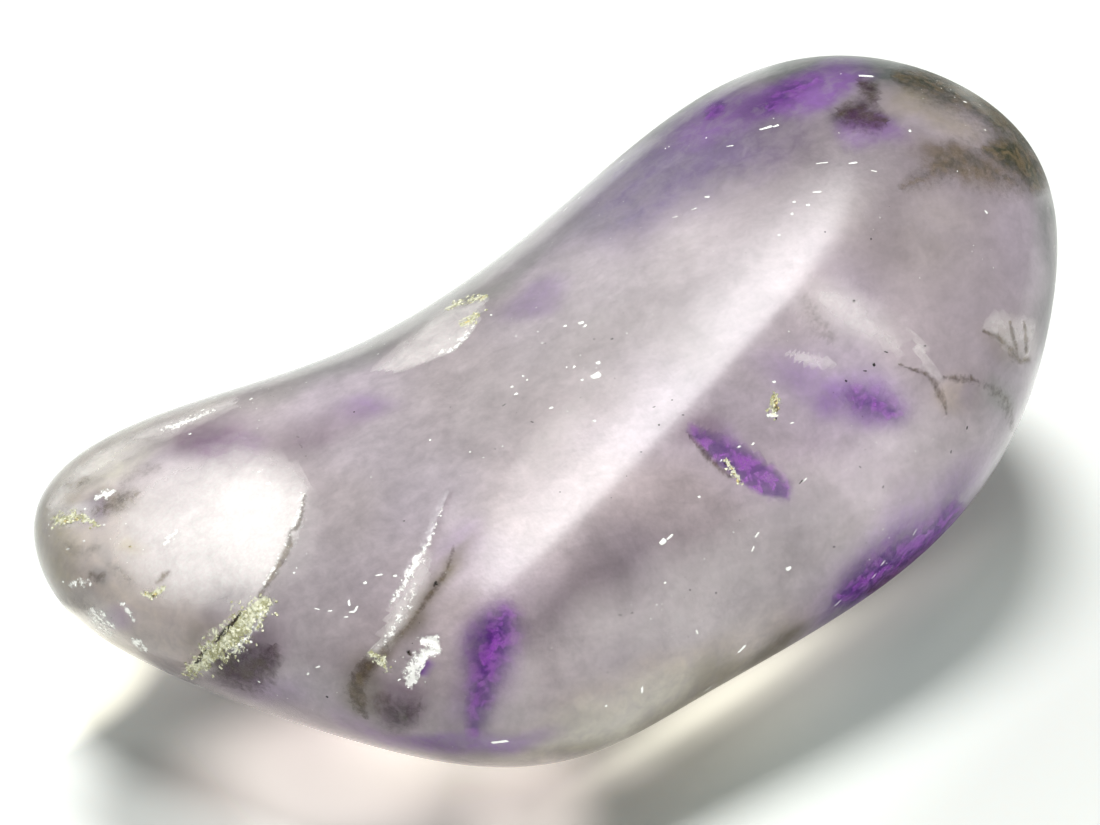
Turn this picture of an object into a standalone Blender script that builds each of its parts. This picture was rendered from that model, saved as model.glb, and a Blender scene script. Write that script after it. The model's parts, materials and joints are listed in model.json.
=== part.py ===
"""A tumbled amethyst: one polished pebble of quartz, bent like a bean, with a small end and a big one.

The long axis runs along X, with the small end at -X, and the hollow of the bend is on the +Y side.
The origin is under the middle of the stone, on the surface that it rests on. Sizes are worked out
in millimetres, and the mesh is written in metres.
"""

import math
from dataclasses import dataclass

import bmesh
import bpy
from mathutils import Vector, noise

METRES_PER_MM = 0.001

# Driving dimension: the stone from end to end
LENGTH = 44.0

# Squares along each side of the cube that is blown up into the pebble
SQUARES_A_SIDE = 24
# How blunt the two ends are: 2 gives the ends of an ellipse, and more makes them squarer
END_BLUNTNESS = 2.5


@dataclass(frozen=True)
class Station:
    """The pebble's section at one of the evenly spaced places along it, before it is worn.

    bow and lift place the middle of the section along Y and Z.
    """

    bow: float
    lift: float
    half_width: float
    half_height: float


# From the small end to the big one
STATIONS = (
    Station(bow=2.6, lift=6.4, half_width=7.8, half_height=7.0),
    Station(bow=-1.4, lift=6.2, half_width=9.4, half_height=7.2),
    Station(bow=-5.0, lift=6.3, half_width=11.5, half_height=7.3),
    Station(bow=-2.9, lift=7.5, half_width=11.7, half_height=8.5),
    Station(bow=-1.0, lift=9.0, half_width=12.4, half_height=10.2),
    Station(bow=0.8, lift=9.8, half_width=13.0, half_height=11.0),
    Station(bow=1.0, lift=9.8, half_width=11.8, half_height=10.3),
)


@dataclass(frozen=True)
class WornFace:
    """A broad face that tumbling wore on the pebble: a plane met softly.

    heading and rise are the way it faces, in degrees: a heading of 0 is +X and 90 is +Y, and rise is
    the angle above level. reach is its distance from HEART, and softness is how widely its rim rolls.
    """

    heading: float
    rise: float
    reach: float
    softness: float

    def outward(self):
        """The unit vector that the face looks along."""
        level = math.cos(math.radians(self.rise))
        return Vector(
            (
                level * math.cos(math.radians(self.heading)),
                level * math.sin(math.radians(self.heading)),
                math.sin(math.radians(self.rise)),
            )
        )


# The point inside the pebble that the worn faces and the waves are measured from
HEART = Vector((0.0, 0.0, 10.0))

FRONT_FACE = WornFace(heading=-78.0, rise=34.0, reach=9.4, softness=1.6)
TOP_FACE = WornFace(heading=-157.0, rise=72.0, reach=4.7, softness=2.4)
END_FACE = WornFace(heading=-30.0, rise=-8.0, reach=19.4, softness=1.5)
WORN_FACES = (FRONT_FACE, TOP_FACE, END_FACE)


@dataclass(frozen=True)
class Hollow:
    """A gentle hollow worn into the side: push moves the stone most at place, and less within spread."""

    place: Vector
    push: Vector
    spread: float


BACK_HOLLOW = Hollow(place=Vector((0.0, 8.0, 12.0)), push=Vector((0.1, -0.6, -0.3)), spread=8.0)

# The slight waves that a polished pebble keeps
WAVE_LENGTH = 12.0
WAVE_HEIGHT = 0.3

# How much of the underside is worn away to the flat it rests on
FLAT_DEPTH = 0.4

AMETHYST_COLOUR = (0.62, 0.55, 0.64, 1.0)
AMETHYST_ROUGHNESS = 0.08
QUARTZ_IOR = 1.544


def blended(values, share):
    """A smooth curve along evenly spaced values, read at share from 0 to 1 (a cubic B-spline)."""
    last = len(values) - 1
    place = share * last
    total = 0.0
    weight = 0.0
    for index in range(-2, last + 3):
        gap = abs(place - index)
        if gap >= 2.0:
            continue
        near = (4.0 - 6.0 * gap**2 + 3.0 * gap**3) / 6.0
        far = (2.0 - gap) ** 3 / 6.0
        pull = near if gap < 1.0 else far
        total += pull * values[min(max(index, 0), last)]
        weight += pull
    return total / weight


def on_blunt_ball(point):
    """Moves a point of the cube onto a ball of radius 1 whose ends along X are blunt."""
    around = math.hypot(point.y, point.z)
    size = (abs(point.x) ** END_BLUNTNESS + around**END_BLUNTNESS) ** (1.0 / END_BLUNTNESS)
    return point / size


def pebble_point(ball):
    """The unworn pebble's point for a point of the blunt ball."""
    share = (ball.x + 1.0) / 2.0
    bow = blended([s.bow for s in STATIONS], share)
    lift = blended([s.lift for s in STATIONS], share)
    half_width = blended([s.half_width for s in STATIONS], share)
    half_height = blended([s.half_height for s in STATIONS], share)
    return Vector(
        (ball.x * LENGTH / 2.0, bow + half_width * ball.y, lift + half_height * ball.z)
    )


def worn(point):
    """The point after the waves, the hollow and the worn faces."""
    outwards = (point - HEART).normalized()
    point = point + outwards * (WAVE_HEIGHT * noise.noise(point / WAVE_LENGTH))
    away = (point - BACK_HOLLOW.place).length / BACK_HOLLOW.spread
    point = point + BACK_HOLLOW.push * math.exp(-(away**2))
    for face in WORN_FACES:
        outward = face.outward()
        over = (point - HEART).dot(outward) - face.reach
        kept = -face.softness * math.log1p(math.exp(-over / face.softness))
        point = point - outward * (over - kept)
    return point


def set_down(points):
    """The points moved so that the stone stands on its flat, centred over the origin."""
    low = Vector([min(p[i] for p in points) for i in range(3)])
    high = Vector([max(p[i] for p in points) for i in range(3)])
    shift = (low + high) / -2.0
    shift.z = -low.z - FLAT_DEPTH
    moved = [p + shift for p in points]
    return [Vector((p.x, p.y, max(p.z, 0.0))) for p in moved]


def amethyst_material():
    """Pale lilac quartz, polished."""
    material = bpy.data.materials.new("polished_amethyst")
    material.use_nodes = True
    shader = material.node_tree.nodes["Principled BSDF"]
    shader.inputs["Base Color"].default_value = AMETHYST_COLOUR
    shader.inputs["Roughness"].default_value = AMETHYST_ROUGHNESS
    shader.inputs["Metallic"].default_value = 0.0
    shader.inputs["IOR"].default_value = QUARTZ_IOR
    material.diffuse_color = AMETHYST_COLOUR
    return material


def build_stone():
    """The one piece: a cube of squares blown up, bent, worn and set on its flat."""
    form = bmesh.new()
    bmesh.ops.create_cube(form, size=2.0)
    bmesh.ops.subdivide_edges(
        form, edges=form.edges[:], cuts=SQUARES_A_SIDE - 1, use_grid_fill=True
    )
    for vertex in form.verts:
        # The tangent spaces the squares evenly once they are on the ball
        even = Vector([math.tan(math.pi / 4.0 * c) for c in vertex.co])
        vertex.co = worn(pebble_point(on_blunt_ball(even)))
    for vertex, point in zip(form.verts, set_down([v.co.copy() for v in form.verts])):
        vertex.co = point * METRES_PER_MM
    bmesh.ops.recalc_face_normals(form, faces=form.faces[:])
    mesh = bpy.data.meshes.new("tumbled_stone")
    form.to_mesh(mesh)
    form.free()
    mesh.shade_smooth()
    mesh.materials.append(amethyst_material())
    stone = bpy.data.objects.new("tumbled_stone", mesh)
    bpy.context.scene.collection.objects.link(stone)
    return stone


def main():
    """Clears the scene and builds the stone."""
    for old in list(bpy.data.objects):
        bpy.data.objects.remove(old)
    build_stone()


if __name__ == "__main__":
    main()
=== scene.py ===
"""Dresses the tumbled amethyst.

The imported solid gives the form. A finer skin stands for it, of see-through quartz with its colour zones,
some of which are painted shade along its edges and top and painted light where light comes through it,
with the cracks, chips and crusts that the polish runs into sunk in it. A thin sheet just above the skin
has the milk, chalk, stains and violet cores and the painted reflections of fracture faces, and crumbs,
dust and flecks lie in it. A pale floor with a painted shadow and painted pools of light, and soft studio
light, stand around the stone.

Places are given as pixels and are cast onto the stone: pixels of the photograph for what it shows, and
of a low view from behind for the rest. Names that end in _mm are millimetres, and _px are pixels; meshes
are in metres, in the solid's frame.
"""

import json
import logging
import math
from collections.abc import Iterable, Sequence
from dataclasses import dataclass
from enum import Enum
from functools import cached_property

import bmesh
import bpy
import numpy as np
from mathutils import Matrix, Vector, noise
from mathutils.bvhtree import BVHTree

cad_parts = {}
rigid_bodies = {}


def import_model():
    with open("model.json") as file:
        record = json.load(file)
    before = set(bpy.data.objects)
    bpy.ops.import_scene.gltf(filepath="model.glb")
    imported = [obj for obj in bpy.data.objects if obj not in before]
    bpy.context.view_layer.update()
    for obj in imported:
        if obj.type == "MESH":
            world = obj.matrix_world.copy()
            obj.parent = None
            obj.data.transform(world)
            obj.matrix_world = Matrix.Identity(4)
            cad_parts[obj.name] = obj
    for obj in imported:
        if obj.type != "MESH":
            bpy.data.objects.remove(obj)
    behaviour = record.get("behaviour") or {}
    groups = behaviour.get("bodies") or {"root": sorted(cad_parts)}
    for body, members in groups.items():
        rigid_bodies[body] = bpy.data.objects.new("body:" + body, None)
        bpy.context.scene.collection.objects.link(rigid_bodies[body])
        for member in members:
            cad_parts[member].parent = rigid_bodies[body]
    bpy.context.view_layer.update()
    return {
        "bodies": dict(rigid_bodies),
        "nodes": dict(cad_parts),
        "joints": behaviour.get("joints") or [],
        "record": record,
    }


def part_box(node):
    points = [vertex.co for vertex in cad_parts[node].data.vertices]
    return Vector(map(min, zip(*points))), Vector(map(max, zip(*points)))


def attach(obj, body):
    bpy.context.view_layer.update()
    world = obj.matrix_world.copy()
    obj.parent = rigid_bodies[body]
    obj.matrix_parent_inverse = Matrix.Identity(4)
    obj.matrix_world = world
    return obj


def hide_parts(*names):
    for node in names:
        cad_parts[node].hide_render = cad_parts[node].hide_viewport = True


LOG = logging.getLogger("tumbled_stone")

MM = 0.001
PER_SQUARE_MM = 1.0e6
NODE_NAME = "tumbled_stone"
BODY_NAME = "root"
SLOT_NAME = "polished_amethyst"

WELD = 1.0e-6
LEAST_SHARE = 0.01
CENTRE = Vector((0.5, 0.5, 0.5))
TINT = "tint"
MILK_AND_LIGHT = "milk"
DUST = "dust"
DULL = "dull"


class Pigment(Enum):
    """The colours of the stone and the studio, as they look on a screen, from 0 to 255."""

    LILAC = (221, 208, 219)
    ROSE_GREY = (221, 208, 210)
    DUSK = (172, 160, 172)
    SHADE = (118, 106, 116)
    LILAC_DUSK = (118, 98, 148)
    GREIGE = (190, 180, 172)
    SAGE = (150, 160, 146)
    DARK_OLIVE = (52, 54, 36)
    PEARL = (252, 250, 246)
    MIST = (228, 219, 221)
    SMOKE = (150, 146, 142)
    SLATE = (78, 90, 84)
    VIOLET = (140, 78, 184)
    DEEP_VIOLET = (74, 12, 118)
    BRIGHT_VIOLET = (150, 72, 182)
    KHAKI = (178, 166, 134)
    PLUM = (116, 80, 112)
    INK = (30, 12, 36)
    MILK_AND_LIGHT = (246, 238, 236)
    STAIN = (72, 60, 48)
    BRUISE = (60, 36, 52)
    OLIVE = (134, 124, 92)
    UMBER = (104, 90, 66)
    BEIGE = (218, 202, 176)
    STRAW = (240, 238, 214)
    CHALK = (250, 250, 244)
    MOSS_CHALK = (228, 228, 202)
    COAL = (34, 30, 26)
    SNOW = (255, 255, 252)
    MOSS = (172, 170, 130)
    GOLD = (222, 206, 140)
    POOL_PINK = (255, 240, 232)
    POOL_WHITE = (255, 251, 230)
    POOL_GREEN = (238, 255, 244)
    PAPER = (247, 252, 249)

    def linear(self) -> tuple[float, float, float, float]:
        """The colour as a shader takes it.

        Returns:
            Red, green, blue and alpha, from 0 to 1 and linear in light.
        """
        shares = (level / 255.0 for level in self.value)
        red, green, blue = (
            share / 12.92 if share <= 0.04045 else ((share + 0.055) / 1.055) ** 2.4 for share in shares
        )
        return (red, green, blue, 1.0)


def smooth_path(knots: Sequence[Sequence[float]], count: int) -> np.ndarray:
    """A smooth curve through every knot.

    Args:
        knots: The points that the curve passes through, two or more, each with the same number of values.
        count: How many points to read from the curve.

    Returns:
        An array of count rows, one for each point.
    """
    held = np.array(knots, dtype=float)
    padded = np.vstack([2 * held[0] - held[1], held, 2 * held[-1] - held[-2]])
    found = []
    for place in np.linspace(0.0, len(held) - 1, count):
        start = min(int(place), len(held) - 2)
        share = place - start
        before, here, there, after = padded[start : start + 4]
        slope_here = (there - before) / 2
        slope_there = (after - here) / 2
        found.append(
            here * (1 + 2 * share) * (1 - share) ** 2
            + slope_here * share * (1 - share) ** 2
            + there * share**2 * (3 - 2 * share)
            + slope_there * share**2 * (share - 1)
        )
    return np.array(found)


def eased(share: np.ndarray) -> np.ndarray:
    """A smooth step: 0 below 0, 1 above 1, and level at both."""
    held = np.clip(share, 0.0, 1.0)
    return held * held * (3 - 2 * held)


def link(made: bpy.types.Object) -> bpy.types.Object:
    """Puts an object in the scene and returns it."""
    bpy.context.scene.collection.objects.link(made)
    return made


def plain_mesh(source: bpy.types.Object, name: str) -> bpy.types.Object:
    """Swaps an object with live modifiers for a plain one.

    Args:
        source: The object, which is removed.
        name: The new object's name.

    Returns:
        An object at the origin whose mesh is what the source showed.
    """
    graph = bpy.context.evaluated_depsgraph_get()
    graph.update()
    mesh = bpy.data.meshes.new_from_object(source.evaluated_get(graph))
    bpy.data.objects.remove(source)
    mesh.name = name
    return link(bpy.data.objects.new(name, mesh))


def triangles(piece: bpy.types.Object) -> int:
    """How many triangles a mesh object has."""
    return sum(len(face.vertices) - 2 for face in piece.data.polygons)


@dataclass(frozen=True)
class PhotoView:
    """A view of the stone, by itself the photograph's.

    heading_deg 0 looks along +Y, and rise_deg is the camera's height above level. offset_mm is the
    point that the camera looks at, from the middle of the stone's box.
    """

    width_px: int = 1100
    height_px: int = 825
    heading_deg: float = -23.0
    rise_deg: float = 40.0
    distance_mm: float = 180.0
    offset_mm: tuple[float, float, float] = (-1.6, 0.0, 0.9)
    lens_mm: float = 149.0
    sensor_mm: float = 36.0
    near_mm: float = 5.0

    @cached_property
    def back(self) -> Vector:
        """The unit vector from the stone to the camera."""
        heading = math.radians(self.heading_deg)
        rise = math.radians(self.rise_deg)
        return Vector(
            (
                math.sin(heading) * math.cos(rise),
                -math.cos(heading) * math.cos(rise),
                math.sin(rise),
            )
        )

    @cached_property
    def right(self) -> Vector:
        """The unit vector that points right in the view."""
        heading = math.radians(self.heading_deg)
        return Vector((math.cos(heading), math.sin(heading), 0.0))

    @cached_property
    def up(self) -> Vector:
        """The unit vector that points up in the view."""
        return self.back.cross(self.right)

    @cached_property
    def target(self) -> Vector:
        """The point that the camera looks at."""
        low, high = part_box(NODE_NAME)
        return (low + high) / 2 + Vector(self.offset_mm) * MM

    @cached_property
    def eye(self) -> Vector:
        """Where the camera stands."""
        return self.target + self.back * self.distance_mm * MM

    @cached_property
    def pixel(self) -> float:
        """How wide a pixel is at a distance of one."""
        return self.sensor_mm / self.lens_mm / self.width_px

    def ray(self, x_px: float, y_px: float) -> Vector:
        """The unit vector from the camera through a pixel.

        Args:
            x_px: The pixel's place from the left edge.
            y_px: The pixel's place from the top edge.

        Returns:
            The direction in the stone's frame.
        """
        across = (x_px - self.width_px / 2) * self.pixel
        down = (y_px - self.height_px / 2) * self.pixel
        return (self.right * across - self.up * down - self.back).normalized()

    def pixels(self, points: np.ndarray) -> np.ndarray:
        """Where points show in the view.

        Args:
            points: The points, as an array of N by 3, in metres.

        Returns:
            Their pixels, as an array of N by 2.
        """
        seen = points - np.array(self.eye)
        depth = -seen @ np.array(self.back)
        across = seen @ np.array(self.right) / depth / self.pixel
        up = seen @ np.array(self.up) / depth / self.pixel
        return np.stack([self.width_px / 2 + across, self.height_px / 2 - up], axis=1)

    def floor_point(self, x_px: float, y_px: float) -> Vector:
        """Where a pixel lands on the floor.

        Args:
            x_px: The pixel's place from the left edge.
            y_px: The pixel's place from the top edge.

        Returns:
            The point, in metres.
        """
        ray = self.ray(x_px, y_px)
        return self.eye - ray * (self.eye.z / ray.z)

    @cached_property
    def mm_per_px(self) -> float:
        """How much of the stone one pixel covers, in millimetres."""
        return self.distance_mm * self.sensor_mm / self.lens_mm / self.width_px

    def build(self) -> bpy.types.Object:
        """Makes the camera and sets it as the scene's.

        Returns:
            The camera object.
        """
        data = bpy.data.cameras.new("photo_view")
        data.sensor_fit = "HORIZONTAL"
        data.sensor_width = self.sensor_mm
        data.lens = self.lens_mm
        data.clip_start = self.near_mm * MM
        camera = link(bpy.data.objects.new("photo_view", data))
        turn = Matrix((self.right, self.up, self.back)).transposed()
        camera.matrix_world = Matrix.Translation(self.eye) @ turn.to_4x4()
        bpy.context.scene.camera = camera
        return camera


PHOTO_VIEW = PhotoView()
BACK_VIEW = PhotoView(heading_deg=180.0, rise_deg=15.0, offset_mm=(0.0, 0.0, 0.0))


def turned_frame(view: PhotoView, turn_deg: float) -> Matrix:
    """A view's frame in the stone's frame.

    Args:
        view: The view.
        turn_deg: How far the frame is turned anticlockwise.

    Returns:
        A matrix whose columns point right, up and towards the camera, once turned.
    """
    turn = math.radians(turn_deg)
    long_way = view.right * math.cos(turn) + view.up * math.sin(turn)
    short_way = view.up * math.cos(turn) - view.right * math.sin(turn)
    return Matrix((long_way, short_way, view.back)).transposed()


class Wire:
    """A socket's value in a shader tree, with arithmetic that adds the nodes it needs."""

    def __init__(self, recipe: "Recipe", socket: bpy.types.NodeSocket) -> None:
        """Holds the recipe that the socket belongs to, and the socket."""
        self.recipe = recipe
        self.socket = socket

    def maths(self, operation: str, *values: "Wire | float") -> "Wire":
        """One Math node.

        Args:
            operation: The node's operation.
            values: What goes into its sockets, in order.

        Returns:
            The node's result.
        """
        return self.recipe.node("ShaderNodeMath", {"operation": operation}, dict(enumerate(values)))

    def __add__(self, other: "Wire | float") -> "Wire":
        """self + other."""
        return self.maths("ADD", self, other)

    def __radd__(self, other: float) -> "Wire":
        """other + self."""
        return self.maths("ADD", other, self)

    def __sub__(self, other: "Wire | float") -> "Wire":
        """self - other."""
        return self.maths("SUBTRACT", self, other)

    def __rsub__(self, other: float) -> "Wire":
        """other - self."""
        return self.maths("SUBTRACT", other, self)

    def __mul__(self, other: "Wire | float") -> "Wire":
        """self * other."""
        return self.maths("MULTIPLY", self, other)

    def __rmul__(self, other: float) -> "Wire":
        """other * self."""
        return self.maths("MULTIPLY", other, self)

    def __rtruediv__(self, other: float) -> "Wire":
        """other / self."""
        return self.maths("DIVIDE", other, self)

    def __pow__(self, other: float) -> "Wire":
        """self to a power."""
        return self.maths("POWER", self, other)

    def at_least(self, low: float) -> "Wire":
        """self, or low if that is more."""
        return self.maths("MAXIMUM", self, low)

    def clamped(self) -> "Wire":
        """self, held between 0 and 1."""
        return self.maths("MINIMUM", self.at_least(0.0), 1.0)

    def stepped(self, low: float, high: float, top: float = 1.0) -> "Wire":
        """A smooth step: 0 at low and top at high, whichever of the two is larger."""
        return self.recipe.node(
            "ShaderNodeMapRange",
            {"interpolation_type": "SMOOTHSTEP"},
            {"Value": self, "From Min": low, "From Max": high, "To Max": top},
        )


@dataclass(frozen=True)
class Texture:
    """A noise from 0 to 1 around a half, in millimetres.

    size_mm is how far apart its lumps are, detail how many finer layers it has, and harshness how strong
    those are. Where warp_mm is given, a noise of that size pushes it about by up to reach_mm. stretch is
    what its place is multiplied by then, and steps where it is 0 and where it is 1, with a smooth step
    between.
    """

    size_mm: float
    detail: float = 2.0
    harshness: float = 0.5
    warp_mm: float = 0.0
    reach_mm: float = 0.0
    stretch: tuple[float, float, float] | None = None
    steps: tuple[float, float] | None = None


class Recipe:
    """A node tree, written as expressions: a material's, a light's, the world's or a modifier's."""

    def __init__(
        self, owner: bpy.types.Material | bpy.types.World | bpy.types.Light | bpy.types.GeometryNodeTree
    ) -> None:
        """Empties the owner's tree and holds it."""
        self.owner = owner
        if isinstance(owner, bpy.types.GeometryNodeTree):
            self.tree = owner
        else:
            owner.use_nodes = True
            self.tree = owner.node_tree
        self.tree.nodes.clear()

    @classmethod
    def material(cls, name: str) -> "Recipe":
        """A recipe for a new material."""
        return cls(bpy.data.materials.new(name))

    def node(
        self,
        kind: str,
        settings: dict[str, object] | None = None,
        inputs: dict[str | int, object] | None = None,
        output: str | int | None = 0,
    ) -> Wire | None:
        """Adds a node.

        Args:
            kind: The node's type.
            settings: Its properties, which are set first.
            inputs: What goes into its sockets: a Wire is linked, and any other value is set.
            output: The socket that is returned, or None on a node that ends the tree.

        Returns:
            The output as a Wire, or None.
        """
        made = self.tree.nodes.new(kind)
        for name, value in (settings or {}).items():
            setattr(made, name, value)
        for key, value in (inputs or {}).items():
            if isinstance(value, Wire):
                self.tree.links.new(value.socket, made.inputs[key])
            else:
                made.inputs[key].default_value = value
        return None if output is None else Wire(self, made.outputs[output])

    def place(self) -> Wire:
        """The shaded point in the stone's frame, in millimetres."""
        metres = self.node("ShaderNodeTexCoord", output="Object")
        return self.vector("SCALE", metres, scale=1 / MM)

    def vector(
        self, operation: str, first: Wire, second: "Wire | Vector | None" = None, scale: float | Wire = 1.0
    ) -> Wire:
        """One Vector Math node.

        Args:
            operation: The node's operation.
            first: Its first vector.
            second: Its second vector, where the operation takes one.
            scale: Its scale, where the operation takes one.

        Returns:
            The node's vector.
        """
        inputs = {0: first}
        if second is not None:
            inputs[1] = second
        if operation == "SCALE":
            inputs["Scale"] = scale
        return self.node("ShaderNodeVectorMath", {"operation": operation}, inputs)

    def grain(self, place: Wire, texture: Texture, output: str = "Fac") -> Wire:
        """A noise.

        Args:
            place: Where it is read, in millimetres.
            texture: What it is like.
            output: Fac for a number, Color for three of them.

        Returns:
            The noise.
        """
        if texture.warp_mm:
            push = self.grain(place, Texture(texture.warp_mm, 1.0), "Color")
            centred = self.vector("SUBTRACT", push, CENTRE)
            place = self.vector("ADD", place, self.vector("SCALE", centred, scale=2 * texture.reach_mm))
        if texture.stretch:
            place = self.vector("MULTIPLY", place, Vector(texture.stretch))
        inputs = {"Vector": place, "Scale": 1 / texture.size_mm}
        inputs |= {"Detail": texture.detail, "Roughness": texture.harshness}
        noised = self.node("ShaderNodeTexNoise", None, inputs, output)
        return noised.stepped(*texture.steps) if texture.steps else noised

    def blend(self, share: Wire, under: object, over: object) -> Wire:
        """One colour laid over another.

        Args:
            share: How much of the upper colour shows.
            under: The lower colour.
            over: The upper colour.

        Returns:
            The mixed colour.
        """
        settings = {"data_type": "RGBA", "clamp_factor": True}
        return self.node("ShaderNodeMix", settings, {0: share, 6: under, 7: over}, 2)

    def colour(self, pigment: Pigment) -> Wire:
        """A plain colour."""
        rgb = self.node("ShaderNodeRGB")
        rgb.socket.default_value = pigment.linear()
        return rgb

    def attribute(self, name: str) -> Wire:
        """A number that the mesh carries at each point."""
        return self.node("ShaderNodeAttribute", {"attribute_name": name}, output="Fac")

    def finish(self, inputs: dict[str | int, object], volume: Wire | None = None) -> bpy.types.Material:
        """Adds the surface shader and the output.

        Args:
            inputs: The surface shader's sockets.
            volume: What fills the inside, if anything does.

        Returns:
            The finished material.
        """
        surface = self.node("ShaderNodeBsdfPrincipled", None, inputs)
        ends = {"Surface": surface}
        if volume is not None:
            ends["Volume"] = volume
        self.node("ShaderNodeOutputMaterial", None, ends, None)
        return self.owner


@dataclass(frozen=True)
class Zone:
    """A patch of colour in the quartz, or of painted light or painted shadow on the floor, as it shows in a
    view.

    long_px and short_px are its half sizes, turn_deg turns it anticlockwise, strength is how much of
    the colour shows at its middle, and edge is how softly it ends. A crisp one's edge is pushed about by
    the finer noise. In the stone, it reaches DEPTH_SHARE of its half length towards the camera and away
    from it, or LEAST_DEPTH_MM if that is more.
    """

    pigment: Pigment
    x_px: float
    y_px: float
    long_px: float
    short_px: float
    turn_deg: float = 0.0
    strength: float = 0.8
    edge: float = 0.5
    crisp: bool = False

    DEPTH_SHARE = 1.2
    LEAST_DEPTH_MM = 1.6

    def share(self, points_mm: np.ndarray, middle: Vector, view: PhotoView) -> np.ndarray:
        """How much of the colour each point gets.

        Args:
            points_mm: The points, as an array of N by 3, in millimetres.
            middle: The zone's middle, in metres.
            view: The camera that the zone is seen from.

        Returns:
            A number from 0 to the strength for each point.
        """
        long_mm = self.long_px * view.mm_per_px
        depth_mm = max(self.LEAST_DEPTH_MM, long_mm * self.DEPTH_SHARE)
        sizes = np.array((long_mm, self.short_px * view.mm_per_px, depth_mm))
        local = (points_mm - np.array(middle) / MM) @ np.array(turned_frame(view, self.turn_deg)) / sizes
        reach = np.linalg.norm(local, axis=1)
        return self.strength * eased((1 + self.edge - reach) / (2 * self.edge))


def zone_list(*rows: tuple) -> tuple[Zone, ...]:
    """Zones from rows of pigment, x, y, half length, half width, turn, strength, edge and crispness."""
    return tuple(Zone(*row) for row in rows)


P = Pigment

BROAD_ZONES = zone_list(
    # Next two rows: painted shade, the top and the thick end darker where the quartz shows dark by
    # refraction.
    (P.SHADE, 760, 130, 240, 100, -20, 0.75, 0.6),
    (P.SHADE, 960, 270, 150, 80, -70, 0.45, 0.6),
    # Next row: partly lilac and partly painted shade, the upper side darker towards the top.
    (P.LILAC_DUSK, 680, 165, 120, 60, 35, 0.78, 0.6),
    (P.GREIGE, 900, 215, 90, 60, -30, 0.55, 0.6),
    # Next row: painted shade, the top of the thick end darker still.
    (P.SHADE, 872, 156, 100, 40, -12, 0.35, 0.7),
    (P.SHADE, 590, 596, 90, 32, 40, 0.62, 0.7),
    # Next row: painted shade, darker beside the upper end of the ridge highlight.
    (P.SHADE, 880, 240, 60, 22, 62, 0.35, 0.7),
    # Next row: partly plum and partly painted shade, darker along the lower edge.
    (P.PLUM, 380, 735, 120, 30, 0, 0.40, 0.6),
    # Next row: partly milky and partly painted sheen, lighter beside the ridge highlight.
    (P.MIST, 640, 300, 150, 60, 30, 0.5, 0.6),
    # Next two rows: painted light, partly milky, the front lighter where light comes through the stone.
    (P.MIST, 700, 610, 130, 50, 28, 0.8, 0.7),
    (P.MIST, 880, 490, 110, 50, 30, 0.6, 0.7),
    (P.MIST, 430, 420, 120, 60, 25, 0.4, 0.7),
    (P.MIST, 300, 620, 90, 60, 60, 0.7, 0.7),
    # Next two rows: painted light, partly beige, the lower front edge lighter where light comes through it.
    (P.BEIGE, 655, 706, 150, 34, 24, 0.9, 0.7),
    (P.STRAW, 640, 716, 110, 22, 22, 0.8, 0.7),
    (P.BEIGE, 95, 555, 90, 62, 80, 0.65, 0.6),
    (P.BEIGE, 170, 630, 80, 40, -30, 0.5, 0.7),
    # Next row: painted reflection, partly milky, the bright patch on the thin end.
    (P.MIST, 215, 525, 92, 62, -30, 0.7, 0.5),
    # Next four rows: painted shade, dark rims along the top edges of the thick end where the quartz refracts
    # dark.
    (P.DARK_OLIVE, 945, 84, 130, 32, -20, 0.82, 0.6),
    (P.DARK_OLIVE, 1026, 150, 84, 32, -55, 0.8, 0.6),
    (P.SLATE, 840, 60, 210, 20, -2, 0.85, 0.6),
    (P.SLATE, 700, 75, 100, 18, 30, 0.6, 0.6),
    # Next row: painted reflection, a pale rim along the thin end's upper edge.
    (P.STRAW, 130, 448, 100, 16, 32, 0.7, 0.6),
    # Next row: painted reflection, a grey-green rim along the upper left edge.
    (P.SAGE, 420, 315, 200, 14, 28, 0.5, 0.7),
    # Next row: painted shade, a dark rim along the right edge.
    (P.SLATE, 1056, 270, 150, 22, 88, 0.7, 0.7),
    # Next row: painted shade, darker along the lower left edge.
    (P.DUSK, 250, 700, 150, 16, -18, 0.5, 0.7),
)

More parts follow.
